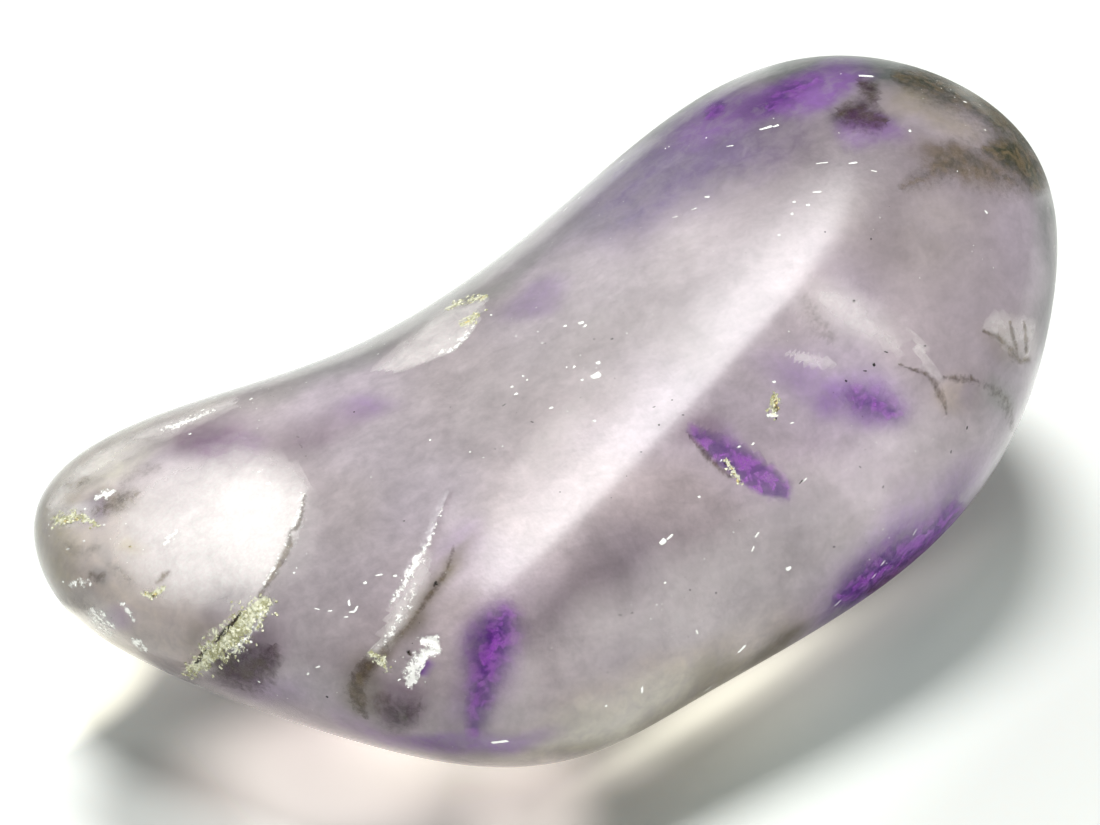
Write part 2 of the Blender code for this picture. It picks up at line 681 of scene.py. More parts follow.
VIOLET_ZONES = zone_list(
    (P.VIOLET, 742, 464, 52, 18, -36, 0.5, 0.6),
    (P.PLUM, 700, 430, 26, 16, -30, 0.6, 0.6),
    (P.VIOLET, 876, 406, 36, 22, -20, 0.6, 0.7),
    (P.VIOLET, 834, 392, 24, 14, 30, 0.5, 0.7),
    (P.VIOLET, 800, 378, 46, 15, -18, 0.42, 0.7),
    (P.VIOLET, 490, 660, 56, 28, 75, 0.6, 0.7),
    (P.DEEP_VIOLET, 494, 641, 27, 20, 60, 0.85, 0.7),
    (P.DEEP_VIOLET, 480, 712, 22, 12, 75, 0.5, 0.7, True),
    # Next three rows: partly violet and partly painted shade, the dark band along the lower right edge.
    (P.VIOLET, 900, 552, 120, 36, 40, 0.6, 0.6),
    (P.DEEP_VIOLET, 895, 566, 92, 28, 38, 0.9, 0.6),
    (P.INK, 905, 562, 84, 20, 40, 0.85, 0.7),
    (P.VIOLET, 800, 92, 72, 26, 28, 0.85, 0.5),
    (P.DEEP_VIOLET, 780, 94, 40, 12, 38, 0.6, 0.6, True),
    (P.DEEP_VIOLET, 752, 107, 26, 10, 20, 0.6, 0.7, True),
    (P.DEEP_VIOLET, 716, 110, 13, 7, 45, 0.9, 0.6, True),
    (P.VIOLET, 706, 120, 50, 22, 30, 0.55, 0.6),
    (P.INK, 861, 116, 28, 14, -10, 0.98, 0.5, True),
    (P.VIOLET, 874, 132, 30, 12, -10, 0.5, 0.7),
    (P.VIOLET, 531, 302, 30, 13, 10, 0.5, 0.7),
    (P.VIOLET, 226, 447, 30, 13, 0, 0.6, 0.7, True),
    (P.PLUM, 212, 440, 64, 22, -14, 0.8, 0.6),
    (P.SHADE, 306, 440, 40, 24, -40, 0.5, 0.6),
    (P.VIOLET, 362, 411, 34, 14, 0, 0.45, 0.7),
    (P.PLUM, 330, 425, 50, 16, 10, 0.4, 0.7),
    (P.VIOLET, 450, 745, 90, 12, 0, 0.75, 0.6),
    (P.VIOLET, 372, 728, 26, 14, -20, 0.5, 0.7),
    (P.PLUM, 396, 706, 30, 24, 0, 0.85, 0.5, True),
    (P.INK, 400, 714, 14, 10, 0, 0.5, 0.6, True),
    (P.INK, 240, 662, 34, 17, 35, 0.98, 0.6, True),
    (P.UMBER, 205, 630, 30, 14, 50, 0.6, 0.7, True),
    (P.PLUM, 262, 650, 40, 18, 50, 0.5, 0.7),
    (P.VIOLET, 426, 668, 9, 5, 35, 0.9, 0.5, True),
    (P.VIOLET, 118, 619, 16, 12, 0, 0.45, 0.7, True),
    (P.VIOLET, 262, 690, 40, 18, 0, 0.35, 0.7),
    (P.VIOLET, 455, 540, 24, 16, 40, 0.35, 0.7),
    (P.DUSK, 230, 600, 34, 14, 30, 0.6, 0.7),
)

STAIN_ZONES = zone_list(
    # Next three rows: partly stain and partly painted shade, umber and dark olive near the thick end's top
    # edge.
    (P.UMBER, 960, 162, 50, 16, -20, 0.85, 0.6, True),
    (P.DARK_OLIVE, 1012, 156, 26, 17, -30, 0.95, 0.6, True),
    (P.DARK_OLIVE, 869, 90, 13, 10, -60, 0.85, 0.6, True),
    (P.KHAKI, 909, 101, 24, 14, 10, 0.5, 0.6, True),
    (P.KHAKI, 953, 124, 36, 15, -25, 0.5, 0.6, True),
    (P.OLIVE, 1006, 340, 32, 20, -30, 0.45, 0.6),
    (P.BEIGE, 958, 396, 22, 18, -30, 0.5, 0.6),
    (P.DUSK, 968, 394, 9, 14, -20, 0.6, 0.6, True),
    (P.SAGE, 1002, 398, 26, 14, -40, 0.6, 0.6, True),
    (P.OLIVE, 724, 682, 90, 18, 31, 0.7, 0.7),
    (P.UMBER, 776, 649, 36, 11, 38, 0.85, 0.6, True),
    (P.OLIVE, 362, 692, 22, 34, -5, 0.6, 0.6, True),
    (P.UMBER, 358, 684, 12, 26, -10, 0.6, 0.7, True),
    (P.OLIVE, 424, 602, 70, 10, 52, 0.75, 0.8, True),
    (P.UMBER, 442, 578, 34, 5, 56, 0.6, 0.8, True),
    (P.UMBER, 388, 648, 34, 6, 46, 0.6, 0.8, True),
    (P.UMBER, 108, 503, 28, 13, 10, 0.85, 0.5, True),
    (P.LILAC_DUSK, 92, 512, 20, 14, 10, 0.5, 0.6, True),
    (P.GOLD, 131, 547, 12, 6, -10, 0.7, 0.7, True),
    (P.SMOKE, 98, 576, 14, 9, 0, 0.8, 0.6, True),
    (P.SMOKE, 106, 556, 7, 12, 0, 0.5, 0.7, True),
    (P.SMOKE, 84, 594, 12, 8, 0, 0.5, 0.7, True),
    (P.KHAKI, 50, 545, 60, 34, 80, 0.8, 0.6),
    (P.UMBER, 82, 484, 20, 8, 25, 0.55, 0.7, True),
    (P.SMOKE, 150, 445, 30, 6, 30, 0.4, 0.7, True),
    (P.PEARL, 70, 512, 24, 10, 5, 0.6, 0.6, True),
    (P.PEARL, 98, 620, 20, 18, -30, 0.6, 0.6, True),
)

ALL_ZONES = BROAD_ZONES + VIOLET_ZONES + STAIN_ZONES

MILK_AND_LIGHT_ZONES = zone_list(
    # Next two rows: painted reflection, partly milky, the bright patch on the thin end.
    (P.SNOW, 248, 516, 58, 44, -60, 0.62, 0.9, True),
    (P.SNOW, 180, 545, 80, 56, 0, 0.35, 0.9),
    # Next three rows: painted light, partly milky, the front lighter where light comes through the stone.
    (P.SNOW, 630, 690, 120, 30, 22, 0.16, 0.9),
    (P.SNOW, 700, 600, 130, 46, 28, 0.2, 0.9),
    (P.SNOW, 850, 500, 110, 46, 32, 0.18, 0.9),
    # Next row: partly milky and partly painted sheen beside the ridge highlight.
    (P.SNOW, 640, 300, 150, 60, 35, 0.16, 0.9),
    (P.SNOW, 596, 376, 22, 14, 0, 0.2, 0.9, True),
    (P.SNOW, 560, 430, 60, 16, 50, 0.18, 0.9, True),
    (P.SNOW, 840, 312, 48, 24, -20, 0.2, 0.9, True),
    (P.SNOW, 240, 700, 60, 16, -20, 0.16, 0.9),
    (P.SNOW, 520, 690, 40, 20, 60, 0.16, 0.9),
)

DULL_ZONES = zone_list(
    (P.SNOW, 780, 650, 260, 30, 32, 0.85, 0.5),
    (P.SNOW, 900, 62, 200, 26, -8, 0.8, 0.5),
    (P.SNOW, 1030, 140, 90, 24, -58, 0.8, 0.5),
    (P.SNOW, 1062, 290, 150, 20, 88, 0.7, 0.5),
    (P.SNOW, 700, 60, 100, 16, 36, 0.7, 0.5),
)


class Channel(Enum):
    """What a mark is made of. Each is a number that the skin's mesh carries at its points. Veil is milk and
    painted reflection.
    """

    VEIL_AND_REFLECTION = "veil"
    CHALK = "chalk"
    MOSS = "moss"
    STAIN = "stain"
    BRUISE = "bruise"
    PEAT = "peat"
    VIOLET = "violet_core"
    COAL = "coal"


def fade(gap: np.ndarray) -> np.ndarray:
    """1 in a mark's middle, a half at its edge and 0 well outside, for a gap in half widths."""
    return np.clip(1 - gap / 2, 0.0, 1.0)


@dataclass(frozen=True)
class Stroke:
    """A mark along a line: a crack, a healed crack, a chip or a smear.

    knots are pixels with the line's half width there. strength below 1 breaks the mark up. dip_mm is how
    far the skin is sunk in its middle, and crumb_mm how rough it is there. Nothing of the mark is left
    REACH half widths from the line.
    """

    channel: Channel
    knots: tuple[tuple[float, float, float], ...]
    strength: float = 1.0
    dip_mm: float = 0.0
    crumb_mm: float = 0.0
    fine: bool = True

    SAMPLES = 40
    REACH = 2.2
    THINNEST_PX = 0.1

    def window(self, pixels: np.ndarray, reach_px: float) -> tuple[np.ndarray, np.ndarray, np.ndarray]:
        """The pixels near the line.

        Args:
            pixels: The pixels, as an array of N by 2.
            reach_px: How far from the line's box they may be.

        Returns:
            Which pixels are near, how far each of those is from each point of the line, and the line's
            half width at those points.
        """
        line = smooth_path(self.knots, self.SAMPLES)
        low = line[:, :2].min(axis=0) - reach_px
        high = line[:, :2].max(axis=0) + reach_px
        inside = np.flatnonzero(((pixels > low) & (pixels < high)).all(axis=1))
        away = np.linalg.norm(pixels[inside, None, :] - line[None, :, :2], axis=2)
        return inside, away, np.maximum(line[:, 2], self.THINNEST_PX)

    def near(self, pixels: np.ndarray, margin_px: float) -> np.ndarray:
        """Which pixels are within a margin of the mark."""
        found = np.zeros(len(pixels), dtype=bool)
        widest = max(knot[2] for knot in self.knots)
        inside, away, half = self.window(pixels, widest + margin_px)
        if len(inside):
            found[inside] = (away - half).min(axis=1) < margin_px
        return found

    def share(self, pixels: np.ndarray) -> np.ndarray:
        """How much of the mark is at each pixel, from 0 to its strength."""
        found = np.zeros(len(pixels))
        inside, away, half = self.window(pixels, self.REACH * max(knot[2] for knot in self.knots))
        if len(inside):
            found[inside] = fade((away / half).min(axis=1)) * self.strength
        return found


@dataclass(frozen=True)
class Facet:
    """A mark with straight sides: a fracture face, whose white is partly painted reflection of the light it
    catches.

    knots are its corners in pixels, clockwise as seen, each with how softly the side after it ends.
    """

    channel: Channel
    knots: tuple[tuple[float, float, float], ...]
    strength: float = 1.0
    dip_mm: float = 0.0
    crumb_mm: float = 0.0
    fine: bool = False

    def sides(self, pixels: np.ndarray, softness: float | None) -> np.ndarray:
        """How far inside the nearest side each pixel is.

        Args:
            pixels: The pixels, as an array of N by 2.
            softness: What one unit is, in pixels, or None for each side's own softness.

        Returns:
            The distances, negative outside.
        """
        found = []
        for here, there in zip(self.knots, self.knots[1:] + self.knots[:1]):
            side = np.array(there[:2]) - np.array(here[:2])
            inward = np.array((-side[1], side[0])) / np.linalg.norm(side)
            found.append((pixels - np.array(here[:2])) @ inward / (softness or here[2]))
        return np.min(found, axis=0)

    def near(self, pixels: np.ndarray, margin_px: float) -> np.ndarray:
        """Which pixels are within a margin of the mark."""
        return self.sides(pixels, 1.0) > -margin_px

    def share(self, pixels: np.ndarray) -> np.ndarray:
        """How much of the mark is at each pixel, from 0 to its strength."""
        return np.clip(0.5 + self.sides(pixels, None) / 2, 0.0, 1.0) * self.strength


CRACK_LINE = (
    (304, 496, 2.2), (298, 524, 3.0), (290, 532, 2.4), (288, 546, 4.5), (274, 572, 4.0), (259, 596, 3.0),
)

MARKS = (
    # The fracture face behind the thin end's crack: a pale face, its bright white partly painted reflection
    # of the light.
    Facet(
        Channel.VEIL_AND_REFLECTION,
        (
            (304, 490, 5), (299, 526, 4), (290, 545, 4), (273, 574, 5), (258, 594, 26), (205, 588, 46),
            (165, 560, 60), (160, 516, 60), (194, 486, 40), (256, 464, 22),
        ),
        strength=0.95,
    ),
    Stroke(Channel.STAIN, CRACK_LINE, strength=0.95, dip_mm=0.025),
    Stroke(
        Channel.CHALK,
        ((303, 492, 1.5), (299, 512, 2.5), (291, 530, 1.5), (276, 562, 2.5), (262, 586, 2)),
        0.75,
    ),
    Stroke(Channel.STAIN, ((296, 434, 2), (301, 446, 1.6), (309, 458, 1.4)), 0.7, dip_mm=0.03),
    # The crumbling crack and its dark shoulder.
    Stroke(
        Channel.MOSS,
        ((263, 603, 8), (246, 620, 13), (229, 638, 13.5), (210, 655, 11), (190, 672, 6)),
        dip_mm=0.16, crumb_mm=0.07,
    ),
    Stroke(Channel.CHALK, ((262, 606, 4), (256, 622, 5), (243, 640, 4), (230, 652, 3)), 0.85, crumb_mm=0.06),
    Stroke(Channel.COAL, ((239, 613, 1.2), (230, 624, 2.4), (222, 633, 3.2), (214, 642, 2.2)), dip_mm=0.22),
    Stroke(Channel.COAL, ((203, 652, 1.4), (199, 657, 2.2), (197, 663, 2.8), (193, 666, 1.2)), dip_mm=0.25),
    Stroke(
        Channel.BRUISE,
        ((212, 658, 9), (230, 668, 15), (250, 673, 16), (266, 662, 11), (274, 648, 5)),
        0.95, fine=False,
    ),
    # The violet cores: the streak, the crescent, the drop, the lower edge and the thick end.
    Facet(
        Channel.VIOLET,
        (
            (690, 424, 9), (719, 436, 9), (751, 451, 8), (773, 466, 6), (792, 485, 4), (789, 500, 3),
            (763, 496, 3), (740, 483, 3), (714, 462, 4), (688, 434, 8),
        ),
        0.84, fine=True,
    ),
    Stroke(Channel.VIOLET, ((852, 394, 10), (870, 402, 16), (892, 413, 13)), 0.8, fine=False),
    Stroke(Channel.VIOLET, ((858, 404, 4), (868, 402, 6), (880, 407, 8), (893, 415, 4)), fine=False),
    Stroke(
        Channel.VIOLET,
        ((506, 612, 10), (500, 634, 20), (492, 656, 19), (485, 680, 14), (478, 704, 11), (473, 732, 7)),
        0.85, fine=False,
    ),
    Stroke(Channel.VIOLET, ((504, 622, 5), (499, 636, 12), (492, 652, 11), (484, 672, 6)), fine=False),
    # Next two marks: partly violet and partly painted shade, the dark band along the lower right edge.
    Stroke(
        Channel.VIOLET,
        ((838, 600, 6), (862, 583, 14), (892, 564, 18), (918, 546, 17), (940, 526, 13), (956, 508, 7)),
        0.85, fine=False,
    ),
    Stroke(Channel.BRUISE, ((868, 592, 3), (894, 577, 7), (920, 560, 8), (944, 538, 4)), 0.75, fine=False),
    Stroke(Channel.VIOLET, ((768, 110, 6), (780, 98, 11), (798, 87, 10), (818, 80, 6)), 0.66, fine=False),
    Stroke(Channel.VIOLET, ((708, 117, 4), (715, 111, 7), (722, 104, 4)), 0.8, fine=False),
    # The dark clouds of the thick end and beside the second crack's foot; the dark olive bands along the
    # thick end's top edge are partly painted shade.
    Stroke(Channel.BRUISE, ((840, 112, 5), (856, 115, 11), (872, 119, 10), (886, 121, 4)), 0.95, fine=False),
    Stroke(Channel.BRUISE, ((860, 82, 4), (869, 91, 8), (873, 102, 6)), 0.85, fine=False),
    Stroke(Channel.PEAT, ((986, 150, 6), (1006, 152, 15), (1024, 162, 17), (1036, 182, 10))),
    Stroke(
        Channel.PEAT,
        ((896, 76, 5), (918, 80, 12), (943, 86, 18), (972, 96, 20), (1004, 118, 20), (1030, 146, 12)),
        0.8,
    ),
    Stroke(
        Channel.PEAT,
        ((902, 188, 4), (922, 178, 10), (944, 166, 17), (968, 160, 20), (994, 172, 19), (1020, 184, 13)),
        0.6,
    ),
    Stroke(Channel.BRUISE, ((382, 702, 8), (399, 716, 14), (416, 706, 8)), 0.6, fine=False),
    # The second crack: a feathered white face above, an olive band below, and its foot.
    Stroke(
        Channel.CHALK,
        (
            (448, 494, 0.8), (438, 518, 1.4), (430, 540, 2.6), (421, 556, 4.6), (411, 572, 4.6),
            (400, 590, 3), (390, 606, 1.6),
        ),
        0.78, dip_mm=0.02, crumb_mm=0.03,
    ),
    Stroke(
        Channel.CHALK,
        ((414, 588, 4), (404, 612, 5), (390, 634, 4), (376, 650, 2.5)),
        0.55, crumb_mm=0.02,
    ),
    Stroke(Channel.VEIL_AND_REFLECTION, ((424, 560, 7), (408, 596, 9), (388, 634, 7), (372, 656, 4)), 0.6),
    Stroke(
        Channel.STAIN,
        ((454, 546, 2), (448, 566, 3), (438, 584, 3.5), (424, 604, 3.5), (404, 630, 4), (388, 646, 4)),
        0.7,
    ),
    Stroke(Channel.STAIN, ((384, 650, 6), (366, 668, 9), (357, 686, 10), (360, 706, 7), (366, 716, 3)), 0.85),
    Stroke(Channel.COAL, ((436, 582, 1.6), (434, 586, 1.6)), 0.9),
    Stroke(Channel.MOSS, ((372, 654, 4), (382, 661, 6), (388, 672, 3)), 0.75, crumb_mm=0.05),
    Stroke(
        Channel.CHALK,
        (
            (424, 641, 5), (432, 641, 6.5), (436, 650, 5), (426, 652, 6), (414, 664, 6), (412, 676, 8),
            (409, 684, 5),
        ),
        dip_mm=0.10, crumb_mm=0.05,
    ),
    Stroke(Channel.COAL, ((408, 652, 3), (410, 655, 2.4)), 0.8, dip_mm=0.08),
    # The pale face on the upper left side, its white partly painted reflection of the light, with its crust.
    Facet(
        Channel.VEIL_AND_REFLECTION,
        (
            (371, 371, 5), (407, 341, 7), (446, 306, 5), (484, 302, 6), (474, 328, 3), (453, 351, 2.5),
            (428, 362, 2.5), (396, 373, 2.5),
        ),
        strength=0.62,
    ),
    Stroke(Channel.MOSS, ((446, 309, 2), (462, 303, 3), (478, 298, 3.5), (487, 296, 2)), 0.75, crumb_mm=0.04),
    Stroke(Channel.MOSS, ((462, 324, 3), (469, 321, 4.5), (477, 314, 3.5)), 0.95, crumb_mm=0.05),
    Stroke(Channel.CHALK, ((474, 326, 2), (463, 338, 3), (454, 349, 2), (440, 352, 3)), 0.7, crumb_mm=0.03),
    # The fan at the thick end, and the split beside it.
    Facet(
        Channel.VEIL_AND_REFLECTION,
        ((979, 329, 5), (996, 312, 8), (1038, 322, 5), (1034, 358, 4), (1020, 365, 4), (1006, 350, 3)),
        strength=0.38,
    ),
    Stroke(
        Channel.STAIN,
        ((984, 331, 2), (998, 337, 4), (1008, 346, 5), (1018, 358, 5.5), (1028, 360, 4)),
        0.8, dip_mm=0.04,
    ),
    Stroke(Channel.STAIN, ((1010, 322, 1.5), (1013, 336, 2.4), (1017, 350, 2.4)), 0.85),
    Stroke(Channel.STAIN, ((1024, 322, 1.5), (1026, 338, 2.4), (1026, 352, 2.4)), 0.85),
    Stroke(
        Channel.STAIN,
        ((899, 364, 1.5), (914, 370, 2.2), (930, 377, 3.2), (938, 390, 5), (944, 402, 3), (947, 414, 1.2)),
        0.78, dip_mm=0.05,
    ),
    Stroke(Channel.STAIN, ((944, 377, 2), (958, 379, 4.5), (974, 380, 4), (982, 384, 2)), 0.7),
    Stroke(Channel.STAIN, ((984, 386, 5), (1000, 396, 9), (1008, 410, 7), (1012, 430, 4)), 0.55, fine=False),
    # Next mark: painted highlight, the bright wedge on the split's fracture face.
    Facet(Channel.VEIL_AND_REFLECTION, ((912, 330, 6), (928, 350, 5), (940, 378, 4), (930, 374, 4), (916, 354, 5)), 0.45),
    # The milky wisps between the ridge and the split.
    Stroke(Channel.VEIL_AND_REFLECTION, ((826, 296, 6), (850, 312, 11), (876, 332, 9), (898, 350, 5)), 0.4, fine=False),
    Stroke(Channel.PEAT, ((804, 298, 4), (816, 318, 9), (832, 338, 6)), 0.42, fine=False),
    Stroke(Channel.VEIL_AND_REFLECTION, ((784, 352, 3), (806, 359, 6), (832, 364, 4)), 0.5, fine=False),
    # The stained edges of the violet streak, the olive fleck above it, and the thick end's inclusions.
    Stroke(Channel.STAIN, ((688, 434, 2), (700, 448, 3.5), (716, 465, 4), (730, 477, 3)), 0.7),
    Stroke(
        Channel.MOSS,
        ((724, 460, 2), (730, 466, 3.5), (736, 475, 3.5), (741, 484, 2)),
        0.85, crumb_mm=0.05,
    ),
    Stroke(Channel.MOSS, ((774, 392, 2), (775, 402, 5.5), (774, 412, 4.5)), 0.9, dip_mm=0.03, crumb_mm=0.04),
    Stroke(Channel.CHALK, ((769, 415, 2.5), (776, 415, 2.5)), 0.95),
    # The thin end's crust and inclusions.
    Stroke(
        Channel.MOSS,
        ((56, 520, 5), (68, 518, 8), (80, 516, 6), (96, 524, 3)),
        0.85, dip_mm=0.04, crumb_mm=0.05,
    ),
    Stroke(Channel.STAIN, ((92, 512, 5), (108, 506, 10), (126, 498, 12), (136, 494, 5)), 0.62),
    Stroke(Channel.CHALK, ((96, 498, 2.5), (104, 495, 4), (112, 491, 3)), 0.95),
    Stroke(Channel.STAIN, ((66, 486, 4), (80, 482, 6), (90, 478, 3)), 0.6, fine=False),
    Stroke(Channel.MOSS, ((144, 593, 3), (152, 595, 4.5), (162, 588, 3)), 0.9, dip_mm=0.03, crumb_mm=0.05),
    Stroke(Channel.STAIN, ((158, 582, 3), (164, 576, 4), (169, 572, 3)), 0.8),
    Stroke(Channel.CHALK, ((164, 544, 2), (170, 538, 3), (177, 532, 2.5)), 0.8, crumb_mm=0.02),
    Stroke(Channel.CHALK, ((72, 584, 3), (80, 582, 4), (90, 584, 3)), 0.75, crumb_mm=0.03),
    Stroke(Channel.STAIN, ((92, 574, 4), (98, 578, 6), (104, 574, 4)), 0.75),
    Stroke(Channel.CHALK, ((92, 612, 5), (102, 620, 8), (110, 632, 5)), 0.65, crumb_mm=0.03),
    Stroke(Channel.CHALK, ((132, 640, 3), (140, 645, 4), (146, 650, 2)), 0.8, crumb_mm=0.03),
    # Next mark: painted reflection, a thin bright line inside the thin end's upper edge, with a few crumbs.
    Stroke(
        Channel.CHALK,
        ((161, 430, 1.5), (176, 425, 3), (196, 418, 3), (214, 410, 1.5)),
        0.75, crumb_mm=0.02,
    ),
    Stroke(Channel.PEAT, ((66, 546, 4), (82, 552, 7), (97, 547, 4)), 0.42, fine=False),
    Stroke(Channel.PEAT, ((110, 564, 4), (122, 574, 7), (132, 584, 4)), 0.42, fine=False),
    Stroke(Channel.PEAT, ((58, 598, 4), (74, 606, 8), (92, 606, 4)), 0.4, fine=False),
    Stroke(Channel.PEAT, ((126, 480, 4), (142, 471, 6), (160, 468, 4)), 0.4, fine=False),
    Stroke(Channel.CHALK, ((118, 600, 1.6), (128, 611, 2.6), (134, 621, 1.6)), 0.7, crumb_mm=0.02),
    # Next mark: painted reflection, a pale band along the thin end's upper edge.
    Stroke(
        Channel.VEIL_AND_REFLECTION,
        ((52, 506, 4), (74, 480, 8), (104, 456, 9), (144, 436, 8), (190, 418, 7), (236, 402, 4)),
        0.6, fine=False,
    ),
)


BACK_MARKS = (
    # A healed crack over the waist, with a veil beside it.
    Stroke(
        Channel.STAIN,
        ((560, 326, 2), (548, 380, 3.4), (557, 430, 4), (540, 490, 3), (549, 560, 1.6)),
        0.75, 0.03,
    ),
    Stroke(
        Channel.CHALK,
        ((567, 345, 1.5), (556, 385, 3), (564, 430, 3.4), (549, 480, 2.4)),
        0.7, crumb_mm=0.02,
    ),
    Facet(
        Channel.VEIL_AND_REFLECTION,
        ((568, 356, 8), (640, 346, 30), (706, 396, 40), (694, 462, 40), (612, 504, 26), (556, 482, 6)),
        0.6,
    ),
    # Violet streaks and a dark cloud.
    Stroke(Channel.VIOLET, ((250, 496, 6), (296, 508, 15), (346, 528, 12), (390, 552, 4)), 0.75, fine=False),
    Stroke(Channel.VIOLET, ((722, 452, 5), (736, 478, 12), (742, 506, 10), (738, 536, 4)), 0.75, fine=False),
    Stroke(Channel.BRUISE, ((884, 472, 6), (910, 480, 12), (938, 474, 8)), 0.7, fine=False),
    # A crusted chip, and two fine cracks near the ends.
    Stroke(Channel.MOSS, ((418, 556, 3), (438, 566, 6.5), (460, 574, 4)), 0.9, dip_mm=0.05, crumb_mm=0.05),
    Stroke(Channel.CHALK, ((440, 553, 3), (457, 560, 4.5), (474, 571, 2.5)), 0.85, crumb_mm=0.04),
    Stroke(
        Channel.STAIN,
        ((118, 330, 1.4), (150, 372, 2.6), (170, 420, 3), (176, 470, 1.6)),
        0.65, dip_mm=0.02,
    ),
    Stroke(Channel.STAIN, ((958, 416, 1.6), (980, 436, 3.4), (1006, 446, 2)), 0.75, dip_mm=0.02),
    Stroke(Channel.VEIL_AND_REFLECTION, ((330, 600, 5), (430, 612, 9), (540, 604, 7), (640, 590, 4)), 0.45, fine=False),
)

BACK_ZONES = zone_list(
    (P.MIST, 620, 430, 130, 60, 0, 0.6, 0.7),
    (P.LILAC_DUSK, 430, 390, 110, 50, -20, 0.45, 0.7),
    (P.VIOLET, 316, 518, 92, 34, -22, 0.55, 0.7),
    (P.VIOLET, 738, 490, 62, 30, 80, 0.5, 0.7),
    (P.BEIGE, 960, 500, 90, 40, 10, 0.5, 0.7),
    (P.PLUM, 886, 470, 60, 26, 0, 0.5, 0.7),
    (P.KHAKI, 1040, 470, 40, 60, 0, 0.5, 0.6),
    (P.UMBER, 196, 566, 72, 22, 20, 0.45, 0.7),
    (P.UMBER, 470, 590, 60, 14, 5, 0.5, 0.7, True),
)

BACK_MILK = zone_list(
    (P.SNOW, 650, 430, 90, 50, 0, 0.2, 0.9),
    (P.SNOW, 300, 440, 90, 40, 20, 0.16, 0.9),
    (P.SNOW, 880, 512, 70, 30, 0, 0.18, 0.9),
)


@dataclass(frozen=True)
class Side:
    """What shows on one side of the stone, placed by the pixels of a view of that side.

    shares are further zones, by the name of the number that they give the skin. margins_px are how far
    round the fine marks the skin's faces are halved, each time that they are.
    """

    view: PhotoView
    marks: tuple[Stroke | Facet, ...]
    zones: tuple[Zone, ...]
    shares: dict[str, tuple[Zone, ...]]
    margins_px: tuple[float, ...] = (5.0, 2.2)


SIDES = (
    Side(BACK_VIEW, BACK_MARKS, BACK_ZONES, {MILK_AND_LIGHT: BACK_MILK}, margins_px=(4.0,)),
    Side(PHOTO_VIEW, MARKS, ALL_ZONES, {MILK_AND_LIGHT: MILK_AND_LIGHT_ZONES, DULL: DULL_ZONES}),
)


